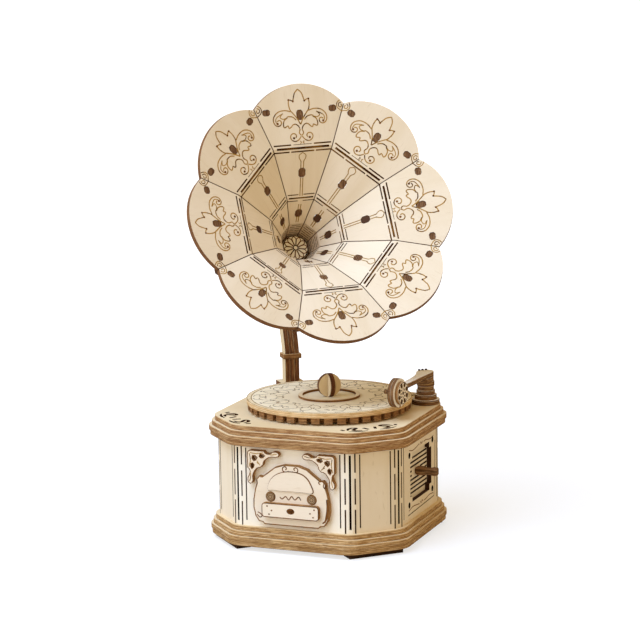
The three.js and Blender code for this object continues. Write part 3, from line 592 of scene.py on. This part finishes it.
assign(goreFinish("gorePly", plyLooks["pale"]), "hornNeck", *[f"hornGore{i + 1}" for i in range(gores)])
assign(plywood("rosettePly", plyLooks["golden"], hornAxis, 0, hornSide), "hornRosette")
assign(plywood("ribPly", plyLooks["tenon"], hornSide, 0, hornAxis), "hornRibCage")
postStart = (caseAxis / mm + Vector(hornSizes["centre"])).dot(hornSide) + postSizes["start"]
assign(plywood("postPly", plyLooks["post"], hornSide, postStart, upright, postSizes["ply"]),
       "postPlateLeft", "postPlateMiddle", "postPlateRight")
print("plywood finishes assigned")

inlayTones = {
    "burntLine": ("AC8240", "4E2F14", 0.32), "archLine": ("8C6236", "50301A", 0.4),
    "goldLine": ("A8844A", "82602F"), "hingeLine": ("3E2412", "7A5428", 0.1),
    "brownLine": ("7A4E28", "4A2C16", 0.4), "darkLine": ("3A200F", "1E0E06"),
    "blackLine": ("140B06", "0A0503"), "paleLine": ("A48C62", "6E5636", 0.4),
    "bandTone": ("F0DCB4", "DFC48E"),
}
burntLine, archLine, goldLine, hingeLine, brownLine, darkLine, blackLine, paleLine, bandTone = (
    inlay(name, *tones) for name, tones in inlayTones.items()
)

# engraving of the horn: one gore is drawn, eight are made
petalArt = {
    "stroke": 0.46, "fine": 0.38,
    "fleur": [(0, 24.2), (1.5, 22.6), (2.25, 20.2), (2.45, 19.4)],
    "leafTip": [(2.5, 19.25), (3.35, 19.8), (4.35, 20.05)],
    "leaf": [(4.35, 20.05), (4.5, 18.1), (4.0, 15.8), (3.1, 14.6), (1.8, 12.9), (0.7, 11.1), (0.05, 9.7)],
    "scroll": [
        (3.9, 15.2), (6.5, 15.8), (9.35, 15.3), (11.2, 13.55), (11.6, 11.65), (10.9, 10.1), (9.55, 9.55),
        (8.4, 10.25), (8.3, 11.4), (9.1, 11.95), (10.0, 11.5),
    ],
    "inner": [(7.2, 14.6), (9.0, 13.8), (10.4, 12.7), (10.5, 11.2), (9.9, 10.5)],
    "curl": [(7.4, 14.6), (8.6, 13.15), (7.3, 12.3), (5.8, 12.7)],
    "brow": [(5.9, 12.5), (5.2, 13.2), (3.2, 12.9), (1.8, 11.6)],
    "acanthus": [
        (5.5, 12.8), (7.0, 11.6), (7.45, 9.8), (7.1, 8.8), (6.2, 9.1), (5.5, 9.45), (5.1, 8.4), (4.25, 8.75),
        (3.3, 9.7), (2.2, 9.9), (1.05, 9.05), (0.5, 7.75), (0.9, 6.2), (0.1, 5.1),
    ],
    "volute": [
        (0.2, 4.8), (1.45, 3.35), (3.05, 2.85), (4.5, 3.65), (4.85, 4.95), (4.15, 5.95), (3.05, 6.05),
        (2.25, 5.25), (2.55, 4.35),
    ],
    "tick": [(0.9, 2.9), (0.35, 2.35), (0.9, 1.8)],
    "rimCurl": [(17.9, 18.5), (16.75, 17.65), (16.3, 16.4), (16.7, 15.3), (17.6, 14.5), (18.35, 13.8)],
    "rimSpiral": [(18.3, 17.5), (17.3, 17.1), (17.15, 16.1), (17.9, 15.5), (18.55, 16.1), (18.2, 16.75)],
    "dots": [(9.9, 10.55, 0.5), (3.4, 4.2, 0.5), (2.5, 19.3, 0.42), (4.35, 20.0, 0.42)],
}
bellArt = {
    "stroke": 0.4,
    "diamond": [(0, 20.1), (0.75, 19.6), (1.45, 18.9), (1.35, 17.6), (0.75, 16.6), (0.6, 16.0)],
    "upper": [(0.6, 16.4), (0.55, 13.4)], "lower": [(0.5, 9.0), (0.5, 0.9)],
}
throatArt = {"upper": [(0.5, 10.6), (0.5, 7.5)], "lower": [(0.45, 3.9), (0.45, 0.8)]}
# hinge slits: half-width of the fold, and the shares of it cut beside the fold, outside and inside
hingeArt = {
    "bend2": {
        "half": 12.5, "main": 0.46, "side": 0.6, "outer": [(0, 0.3), (0.7, 1)], "thin": [(0.34, 0.66)],
        "inner": [(0, 0.27), (0.3, 0.7), (0.73, 1)],
    },
    "bend3": {
        "half": 5.9, "main": 0.34, "side": 0.42, "outer": [(0, 0.41), (0.6, 1)], "thin": [],
        "inner": [(0, 0.42), (0.6, 1)],
    },
    "reach": 1.5, "thin": 0.22, "proud": 0.02, "whole": [(0.04, 0.95)],
}


def panelPlace(inner, outer):
    # a drawing plane on the first gore, in the horn's own frame, facing the listener
    flat = math.cos(turn / gores / 2)
    low, high = (Vector((0, hornSizes[k][1], hornSizes[k][0] * flat)) for k in (inner, outer))
    up = (high - low).normalized()
    place = Matrix((-right, up, up.cross(right))).transposed().to_4x4() @ Matrix.Scale(mm, 4)
    place.translation = low * mm
    return place, (high - low).length


def gored(name, parts, material):
    repeated(name, joined(name, parts), gores, (0, turn / gores, 0), hornCentre, hornLean, material, "case")


petalPlace = panelPlace("bend2", "notch")[0]
bellPlace, bellLong = panelPlace("bend3", "bend2")
throatPlace, throatLong = panelPlace("mouth", "bend3")
neckPlace, neckLong = panelPlace("neck", "mouth")

drawn = Bars()
bold = ("fleur", "leafTip", "leaf", "scroll", "acanthus", "volute", "brow")
drawn.mirrored([petalArt[k] for k in bold], petalArt["stroke"])
drawn.mirrored([petalArt[k] for k in ("inner", "curl", "tick", "rimCurl", "rimSpiral")], petalArt["fine"])
gored("petalEngraving", [drawn.mesh("petal", petalPlace)], burntLine)
spots = Bars(dotHigh).dots(petalArt["dots"])
gored("petalDots", [spots.mesh("spots", petalPlace)], brownLine)

drawn = Bars().mirrored([bellArt["diamond"], bellArt["upper"], bellArt["lower"]], bellArt["stroke"])
deeper = Bars().mirrored([throatArt["upper"], throatArt["lower"]], bellArt["stroke"])
gored("bellEngraving", [drawn.mesh("bell", bellPlace), deeper.mesh("throat", throatPlace)], goldLine)


def slitRows(art, outerPlane, innerPlane, innerLong):
    half, reach, edge = art["half"], hingeArt["reach"], art["main"] / 2
    rows = []
    for place, at, shares, width in (
        (outerPlane, reach, art["outer"], art["side"]), (outerPlane, reach, art["thin"], hingeArt["thin"]),
        (innerPlane, innerLong - reach, art["inner"], art["side"]),
        (outerPlane, edge, hingeArt["whole"], art["main"]),
        (innerPlane, innerLong - edge, hingeArt["whole"], art["main"]),
    ):
        cut = Bars(hingeArt["proud"])
        for low, high in shares:
            cut.bar([(half - 2 * half * low, at), (half - 2 * half * high, at)], width, smooth=False)
        rows.append(cut.mesh("row", place))
    return rows


slits = slitRows(hingeArt["bend2"], petalPlace, bellPlace, bellLong)
slits += slitRows(hingeArt["bend3"], bellPlace, throatPlace, throatLong)
# the slits are dark partly from their burnt kerfs and partly as painted shade behind the gores seen through them
gored("hingeSlits", slits, hingeLine)

# neck: two kinds of row by turns
neckArt = {
    "rows": [1.2, 2.6, 4.0, 5.4, 6.8, 8.2], "half": 2.4, "stroke": 0.3,
    "spans": ([(0.1, 0.9)], [(0, 0.45), (0.55, 1)]),
}
grid, half = Bars(), neckArt["half"]
for i, at in enumerate(neckArt["rows"]):
    for span in neckArt["spans"][i % 2]:
        ends = [(half - 2 * half * share, neckLong - at) for share in span]
        grid.bar(ends, neckArt["stroke"], smooth=False)
# the neck's slits are dark partly from burning and partly as painted shade seen through them
gored("neckSlits", [grid.mesh("neck", neckPlace)], darkLine)
print("horn engraved")

# rosette at the end of the neck
rosetteArt = {
    "petals": 12, "stroke": 0.36, "rims": (5.35, 1.05), "rimWide": 0.42, "rimSides": 36, "front": 2,
    "petal": [(0.25, 1.3), (0.66, 2.7), (0.858, 4.1), (0, 5.0), (-0.858, 4.1), (-0.66, 2.7), (-0.25, 1.3)],
}
petal = Bars(dotHigh).bar(rosetteArt["petal"], rosetteArt["stroke"])
depth = (hornSizes["neck"][1] + rosetteArt["front"]) * mm
local = Matrix(((-1, 0, 0, 0), (0, 0, 1, depth), (0, 1, 0, 0), (0, 0, 0, 1))) @ Matrix.Scale(mm, 4)
spin = (0, turn / rosetteArt["petals"], 0)
repeated("rosettePetals", petal.mesh("rosettePetal", local), rosetteArt["petals"], spin, hornCentre, hornLean,
         brownLine, "case")
rims = Bars(rimHigh)
for radius in rosetteArt["rims"]:
    rims.ring(radius, rosetteArt["rimSides"], rosetteArt["rimWide"])
repeated("rosetteRims", rims.mesh("rosetteRims", local), 1, (0, 0, 0), hornCentre, hornLean, darkLine, "case")

# case: hinge slits on the eight bends, drawn on two and turned about the axis; a row has its step from
# the bend's middle, its width and the heights at which it is cut
bendArt = {
    "pitch": 2.03, "side": [(10.05, 19.9), (22.0, 32.6), (35.1, 43.45)],
    "middle": [(0, 0.85, "long")], "long": [(11.7, 42.1)], "outer": [(12.2, 42.3)], "sunk": 0.4,
    "beside": [(-2, 0.5, "outer"), (-1, 0.58, "side"), (1, 0.58, "side"), (2, 0.5, "outer")],
}


def bendMesh(rows):
    half, bend = caseSizes["wall"], caseSizes["bend"]
    short, corner = half - caseSizes["diagonalLeg"], turn / caseSides
    meshes = []
    for spot, first in ((Vector((short, -half, 0)), -2 * corner), (Vector((half, -short, 0)), -corner)):
        middle = first + corner / 2
        centre = spot - Vector((math.cos(middle), math.sin(middle), 0)) * (bend / math.cos(corner / 2))
        for step, width, spans in rows:
            angle = middle + step * bendArt["pitch"] / bend
            bounded = min(max(angle, first), first + corner)
            outward = Vector((math.cos(bounded), math.sin(bounded), 0))
            along = Vector((-outward.y, outward.x, 0))
            start = centre + outward * bend + along * ((angle - bounded) * bend)
            cut = Bars(lineHigh, bendArt["sunk"])
            for low, high in bendArt[spans]:
                cut.bar([(0, low), (0, high)], width, smooth=False)
            place = Matrix((along, above, outward)).transposed().to_4x4() @ Matrix.Scale(mm, 4)
            place.translation = start * mm
            meshes.append(cut.mesh("bend", place))
    return joined("wallSlits", meshes)


# the slits are dark partly as burnt kerfs and partly as painted shade of the hollow case seen through them; the
# middle slit is painted black
around("wallSlits", bendMesh(bendArt["beside"]), caseCorners, caseAxis, darkLine, "case")
around("wallMiddleSlits", bendMesh(bendArt["middle"]), caseCorners, caseAxis, blackLine, "case")

# deck: bold scrolls pierced in each cut corner, drawn as dark bars: burnt edges, and painted shade of the hollow
# case below
deckArt = {
    "slots": [[(1.5, -3.7), (2.5, -6.9)], [(11.3, -5.6), (11.9, -7.6)]], "slot": 1.2,
    "hook": [(4.6, -3.1), (7.0, -3.7), (7.5, -5.3), (5.2, -7.6), (6.6, -8.6), (8.6, -7.6), (10.0, -5.3)],
    "hookWide": (0.6, 1.5, 1.6, 1.3, 1.5, 0.6),
    "leaf": [(2.6, -1.9), (5.0, -1.7), (7.6, -2.2), (10.4, -3.4)], "leafWide": (0.4, 1.1, 1.0, 0.4),
}
scrolls = Bars()
scrolls.mirrored(deckArt["slots"], deckArt["slot"])
scrolls.mirrored([deckArt["hook"]], deckArt["hookWide"])
scrolls.mirrored([deckArt["leaf"]], deckArt["leafWide"])
cornerMiddle = caseSizes["cutCorner"] / math.sqrt(2)
alongCorner, outOfCorner = Vector((-1, -1, 0)).normalized(), Vector((1, -1, 0)).normalized()
deckPlace = Matrix((alongCorner, outOfCorner, above)).transposed().to_4x4() @ Matrix.Scale(mm, 4)
deckPlace.translation = Vector((cornerMiddle, -cornerMiddle, caseSizes["deck"])) * mm
# the scrolls' dark colour is partly painted shade seen through the piercings
around("deckScrolls", scrolls.mesh("deckScroll", deckPlace), caseCorners, caseAxis, darkLine, "case")

# turntable disc: rim band, line and eight engraved sprays
discArt = {
    "band": 33.2, "bandWide": 1.7, "line": 32.3, "lineWide": 0.35, "edge": 34.05, "edgeWide": 0.25,
    "sides": 144, "copies": 8, "stroke": 0.32,
    "spray": [(0, 17.5), (0.2, 20.5), (0, 24.0)],
    "curls": [
        [(0.3, 18.4), (2.6, 19.2), (4.6, 21.4), (4.9, 23.8), (3.6, 25.0), (2.3, 24.2), (2.6, 22.9)],
        [(0.3, 22.4), (1.9, 24.4), (2.0, 27.2), (0, 29.8)],
        [(3.9, 25.6), (5.6, 27.4), (8.0, 28.0), (9.8, 26.9), (9.9, 25.2), (8.6, 24.6), (7.7, 25.6)],
        [(5.6, 21.6), (7.2, 20.2), (7.4, 18.4), (6.0, 17.8), (5.3, 18.8)],
        [(6.0, 28.6), (8.0, 29.9), (10.6, 29.6)],
    ],
    "specks": [(0.55, 30.5, 0.4), (2.5, 23.9, 0.36), (8.8, 24.9, 0.36), (6.0, 18.3, 0.3)],
}
tableCentre = caseAxis + Vector((tableSizes["x"], tableSizes["y"], tableSizes["top"])) * mm
sprays = Bars()
sprays.bar(discArt["spray"], discArt["stroke"])
sprays.mirrored(discArt["curls"], discArt["stroke"])
unit = Matrix.Scale(mm, 4)
around("discSprays", sprays.mesh("spray", unit), discArt["copies"], tableCentre, paleLine, "turntable")
specks = Bars(dotHigh).dots(discArt["specks"])
around("discSpecks", specks.mesh("speck", unit), discArt["copies"], tableCentre, brownLine, "turntable")
band = Bars().ring(discArt["band"], discArt["sides"], discArt["bandWide"])
around("discBand", band.mesh("band", unit), 1, tableCentre, bandTone, "turntable")
line = Bars(rimHigh)
for radius, width in (("line", "lineWide"), ("edge", "edgeWide")):
    line.ring(discArt[radius], discArt["sides"], discArt[width])
around("discLine", line.mesh("line", unit), 1, tableCentre, goldLine, "turntable")


outlineArt = {"flat": 0.03, "digits": 3, "sunk": 0.15, "arch": 0.45, "bracket": 0.32, "plaque": 0.34}


def faceLoops(name, place):
    # closed boundary lines of the flat face that a node has in a drawing plane
    back = place.inverted() @ nodes[name].matrix_world
    spots = [back @ v.co for v in nodes[name].data.vertices]
    follow = {}
    for face in nodes[name].data.polygons:
        corners = [spots[i] for i in face.vertices]
        if max(abs(p.z) for p in corners) > outlineArt["flat"]:
            continue
        keys = [tuple(round(value, outlineArt["digits"]) for value in p.xy) for p in corners]
        for a, b in zip(keys, keys[1:] + keys[:1]):
            if (b, a) in follow:
                del follow[(b, a)]
            else:
                follow[(a, b)] = True
    after = {a: b for a, b in follow}
    loops = []
    while after:
        start = next(iter(after))
        loop, spot = [start], after.pop(start)
        while spot != start and spot in after:
            loop.append(spot)
            spot = after.pop(spot)
        if len(loop) > 2:
            loops.append(loop)
    return loops


def outlined(name, members, place, width, material):
    # a burnt line just inside the edges of flat faces
    cut = Bars(lineHigh, outlineArt["sunk"])
    for member in members:
        for loop in faceLoops(member, place):
            count = len(loop)
            path = []
            for i, spot in enumerate(loop):
                way = (Vector(loop[(i + 1) % count]) - Vector(loop[i - 1])).normalized()
                path.append(Vector(spot) + Vector((-way.y, way.x)) * width / 2)
            cut.bar(path, width, closed=True, smooth=False)
    piece(name, cut.mesh(name, place), material, "case")


# front: blank sign on the arched plate, scrolls, plaque details, pegs and bracket veins
signArt = {
    "outline": [
        (-10.0, 26.2), (-9.1, 29.6), (-6.8, 32.2), (-3.3, 33.7), (0.6, 34.1), (4.4, 33.5), (7.0, 31.8),
        (8.6, 29.2), (9.5, 26.7), (8.2, 26.0), (5.2, 26.3), (2.1, 26.1), (-0.9, 26.3), (-4.3, 26.1),
        (-7.8, 26.4),
    ],
    "front": 42.1, "proud": 0.5, "step": 1.2, "rimWide": (0.35, 0.6, 0.7, 0.4, 0.4),
    "curls": [
        [(-0.9, 34.4), (-1.9, 34.0), (-3.3, 34.3), (-3.5, 35.6), (-2.5, 36.2), (-1.8, 35.5), (-2.3, 34.9)],
        [(0.5, 34.4), (1.5, 34.0), (2.8, 34.3), (3.0, 35.5), (2.1, 36.1), (1.3, 35.5), (1.8, 34.9)],
    ],
    "curlWide": 0.42,
    "marks": [
        [(-14.7, 16.6), (-13.4, 16.0), (-12.8, 15.1), (-13.7, 14.5), (-15.0, 15.6)],
        [(12.6, 29.9), (11.9, 30.7), (13.0, 31.4), (14.1, 30.7), (14.0, 29.1), (15.0, 28.2)],
        [(-4.9, 23.5), (-3.9, 22.8), (-2.4, 23.9), (-1.1, 22.6), (0.2, 24.1), (1.6, 22.8), (3.2, 24.1), (4.2, 22.8)],
    ],
    "markWide": 0.4,
    "side": [(15.3, 24.0), (15.7, 20.2), (14.7, 15.4), (13.4, 14.1)], "sideWide": (0.6, 1.2, 1.0, 0.5),
}
plaqueArt = {
    "front": 44.1, "middle": (0.4, 18.4), "oval": (1.7, 1.2), "sides": 28, "dot": 0.34,
    "dots": [(-9.7, 19.9), (-7.8, 18.2), (-8.9, 16.6), (10.6, 19.8), (8.8, 18.2), (10.1, 16.7)],
}
frontPlace, plaquePlace = (drawingPlane((0, -art["front"], 0), right, above) for art in (signArt, plaqueArt))
brackets = ["cornerBracketLeft", "cornerBracketRight"]
outlined("archOutline", ["frontArchPlate"], frontPlace, outlineArt["arch"], archLine)
outlined("bracketOutline", brackets, frontPlace, outlineArt["bracket"], brownLine)
outlined("plaqueOutline", ["frontPlaque"], plaquePlace, outlineArt["plaque"], brownLine)
sign = Bars(signArt["proud"], 0.0)
sign.patch(smoothLine(signArt["outline"], closed=True, step=signArt["step"])[::-1])
signPly = plywood("signPly", plyLooks["front"], back, 0, level)
piece("archSign", sign.mesh("archSign", frontPlace), signPly, "case")
rim = Bars(rimHigh).bar(signArt["outline"], signArt["rimWide"], closed=True)
for line in signArt["curls"]:
    rim.bar(line, signArt["curlWide"])
for line in signArt["marks"]:
    rim.bar(line, signArt["markWide"])
rim.bar(signArt["side"], signArt["sideWide"])
piece("archLines", rim.mesh("archLines", frontPlace), brownLine, "case")

marks = Bars(dotHigh)
long, high = plaqueArt["oval"]
marks.dot(*plaqueArt["middle"], long, high / long, plaqueArt["sides"])
for spot in plaqueArt["dots"]:
    marks.dot(*spot, plaqueArt["dot"])
piece("plaqueMarks", marks.mesh("plaqueMarks", plaquePlace), brownLine, "case")

pegArt = {"across": 8.9, "height": 23.4, "front": 42.5, "rings": [1.35, 0.7], "sides": 20, "stroke": 0.2}
pegs = Bars()
for side in (-1, 1):
    for radius in pegArt["rings"]:
        pegs.ring(radius, pegArt["sides"], pegArt["stroke"], side * pegArt["across"], pegArt["height"])
pegPlace = drawingPlane((0, -pegArt["front"], 0), right, above)
piece("pegMarks", pegs.mesh("pegMarks", pegPlace), darkLine, "case")

bracketArt = {
    "corner": (18.9, 42.0), "span": 14, "stroke": 0.32,
    "veins": [
        [(0.08, 0.1), (0.1, 0.3), (0.06, 0.5)], [(0.09, 0.66), (0.1, 0.78), (0.07, 0.92)],
        [(0.1, 0.08), (0.3, 0.1), (0.5, 0.06)], [(0.66, 0.09), (0.78, 0.1), (0.92, 0.07)],
        [(0.3, 0.36), (0.38, 0.4), (0.4, 0.44)], [(0.3, 0.3), (0.36, 0.38)],
    ],
}
side, top = bracketArt["corner"]
span = bracketArt["span"]
lines = [[(side - u * span, top - v * span) for u, v in line] for line in bracketArt["veins"]]
veins = Bars(dotHigh).mirrored(lines, bracketArt["stroke"])
piece("bracketVeins", veins.mesh("bracketVeins", frontPlace), burntLine, "case")

# right side: tenons beside the window, a framing line and small ornaments
windowArt = {
    "tenons": [(-13.3, 37.3), (15.3, 37.8), (-13.7, 16.7), (14.9, 17.0)], "tenon": (1.15, 1.3), "sides": 20,
    "frame": [(-15.1, 12.7), (16.9, 13.5), (18.0, 24.1), (18.5, 36.8)], "frameWide": 0.36,
    "curls": [
        [(-13.7, 39.5), (-9.6, 38.7), (-5.6, 38.9), (-1.4, 39.6)],
        [(-0.4, 39.0), (0.8, 40.0), (1.9, 39.1), (3.0, 39.9)],
        [(4.4, 39.3), (7.1, 39.5), (12.0, 38.8), (16.5, 39.3)],
        [(-14.3, 14.4), (-9.8, 15.2), (-5.3, 14.9), (-1.2, 14.4)],
        [(-0.3, 15.2), (0.8, 14.3), (1.9, 15.3), (3.0, 14.5)],
        [(4.2, 14.6), (6.6, 14.7), (11.3, 15.3), (16.0, 14.9)],
    ],
    "curlWide": 0.34,
}
rightPlace = drawingPlane((caseSizes["wall"], 0, 0), back, above)
wide, high = windowArt["tenon"]
tabs = Bars(rimHigh)
for x, y in windowArt["tenons"]:
    tabs.dot(x, y, wide, high / wide, windowArt["sides"])
piece("windowTenons", tabs.mesh("windowTenons", rightPlace), blackLine, "case")
border = Bars(dotHigh).bar(windowArt["frame"], windowArt["frameWide"], smooth=False)
piece("windowFrame", border.mesh("windowFrame", rightPlace), darkLine, "case")
curls = Bars(dotHigh)
for line in windowArt["curls"]:
    curls.bar(line, windowArt["curlWide"])
piece("windowLines", curls.mesh("windowLines", rightPlace), brownLine, "case")

# sound box: a wheel of small openings inside the ring of holes; tonearm: dots at the back of its head
soundArt = {
    "rim": 4.35, "rimWide": 0.3, "rimSides": 40, "spokes": 8, "spoke": [(1.3, 0), (2.3, 0)], "spokeWide": 0.5,
    "hub": 0.7, "hole": (3.35, 0), "scorch": 0.74, "scorchWide": 0.3, "holeSides": 14, "sunk": 0.1,
}
soundPlace = drawingPlane(soundSpot, (-soundFacing.y, soundFacing.x, 0), above)
soundPlace.translation += soundFacing * soundSizes["front"] * mm
spokes, sides = soundArt["spokes"], soundArt["holeSides"]
wheel = Bars(lineHigh, soundArt["sunk"]).ring(soundArt["rim"], soundArt["rimSides"], soundArt["rimWide"])
wheel.dot(0, 0, soundArt["hub"], sides=sides)
for i in range(spokes):
    spread = Matrix.Rotation(turn * i / spokes, 2)
    wheel.bar([tuple(spread @ Vector(p)) for p in soundArt["spoke"]], soundArt["spokeWide"], smooth=False)
    x, y = Matrix.Rotation(turn / (2 * spokes), 2) @ spread @ Vector(soundArt["hole"])
    wheel.ring(soundArt["scorch"], sides, soundArt["scorchWide"], x, y)
piece("soundBoxWheel", wheel.mesh("soundBoxWheel", soundPlace), darkLine, "tonearm")
armArt = {"dots": [(-3.0, 0.52), (-1.93, 1.6), (-0.65, 2.43)], "dot": 0.5, "proud": 0.5}
marks = Bars(armArt["proud"])
for x, y in armArt["dots"]:
    marks.dot(x, y, armArt["dot"])
armPlace = drawingPlane((armSizes["x"], armSizes["y"], armSizes["top"]), right, back)
piece("armDots", marks.mesh("armDots", armPlace), darkLine, "tonearm")
print("case and turntable engraved")

# stage: a paper floor that stays white away from the case and keeps its shadow
floorArt = {
    "half": 6.0, "lift": 0.68, "near": 110, "far": 420, "rough": 0.9, "specular": 0.1,
    "seen": (0.35, 0.35, 0.35, 1), "tone": (0.62, 0.55, 0.42, 1),
}
half = floorArt["half"]
floorMesh = bpy.data.meshes.new("floor")
corners = [(-half, -half, 0), (half, -half, 0), (half, half, 0), (-half, half, 0)]
floorMesh.from_pydata(corners, [], [range(len(corners))])
floor = bpy.data.objects.new("floor", floorMesh)
bpy.context.scene.collection.objects.link(floor)
ground = Finish("paperFloor")
seen = ground.cameraSees()
ground.feed("Base Color", ground.blend(seen, floorArt["tone"], floorArt["seen"]))
ground.shine(floorArt["rough"], floorArt["specular"])
distance = ground.node("ShaderNodeVectorMath", {"operation": "LENGTH"}, {0: ground.place}, 1)
far = ground.ease(distance, floorArt["near"], floorArt["far"])
lift = seen * (far * (1 - floorArt["lift"]) + floorArt["lift"])
ground.feed("Emission Color", ground.vector(lift, lift, lift))
ground.shader.inputs["Emission Strength"].default_value = 1
floorMesh.materials.append(ground.material)

world = bpy.context.scene.world or bpy.data.worlds.new("studio")
bpy.context.scene.world = world
world.use_nodes = True
sky = Graph(world.node_tree)
worldTone, white = (0.53, 0.41, 0.245, 1), (1, 1, 1, 1)
skyTone = sky.blend(sky.cameraSees(), worldTone, white)
backdrop = sky.tree.nodes["Background"]
sky.tree.links.new(skyTone.socket, backdrop.inputs["Color"])
backdrop.inputs["Strength"].default_value = 1

aim = Vector((0, 0, 0.09))
lampArt = {
    "key": {"at": (-0.34, -0.52, 1.23), "size": 1.1, "watts": 24, "tone": (0.48, 0.655, 1)},
    "front": {"at": (-0.7, -1.06, 0.25), "size": 1.2, "watts": 10.4, "tone": (0.52, 0.65, 0.88)},
    "fill": {"at": (1.1, -0.5, 0.5), "size": 0.6, "watts": 1.6, "tone": (1, 0.85, 0.6)},
}
for name, art in lampArt.items():
    data = bpy.data.lights.new(name, "AREA")
    data.shape, data.size, data.energy, data.color = "DISK", art["size"], art["watts"], art["tone"]
    lamp = bpy.data.objects.new(name, data)
    lamp.location = art["at"]
    lamp.rotation_euler = (aim - Vector(art["at"])).to_track_quat("-Z", "Y").to_euler()
    bpy.context.scene.collection.objects.link(lamp)

cameraArt = {
    "at": (356.56, -904.56, 263.92), "around": 21.69, "above": 10.18, "roll": -0.81,
    "lens": 135, "sensor": 36, "clip": (0.05, 20),
}
bearing, high, roll = (math.radians(cameraArt[k]) for k in ("around", "above", "roll"))
toward = Vector((math.sin(bearing) * math.cos(high), -math.cos(bearing) * math.cos(high), math.sin(high)))
flatSide = Vector((math.cos(bearing), math.sin(bearing), 0))
raised = flatSide.cross(-toward)
acrossView = flatSide * math.cos(roll) + raised * math.sin(roll)
upView = raised * math.cos(roll) - flatSide * math.sin(roll)
basis = Matrix((acrossView, upView, toward)).transposed().to_4x4()
basis.translation = caseAxis + Vector(cameraArt["at"]) * mm
data = bpy.data.cameras.new("camera")
data.lens, data.sensor_width, data.sensor_fit = cameraArt["lens"], cameraArt["sensor"], "HORIZONTAL"
data.clip_start, data.clip_end = cameraArt["clip"]
camera = bpy.data.objects.new("camera", data)
camera.matrix_world = basis
bpy.context.scene.collection.objects.link(camera)
bpy.context.scene.camera = camera
bpy.context.scene.view_settings.view_transform = "Standard"
print("stage, lamps and camera set")
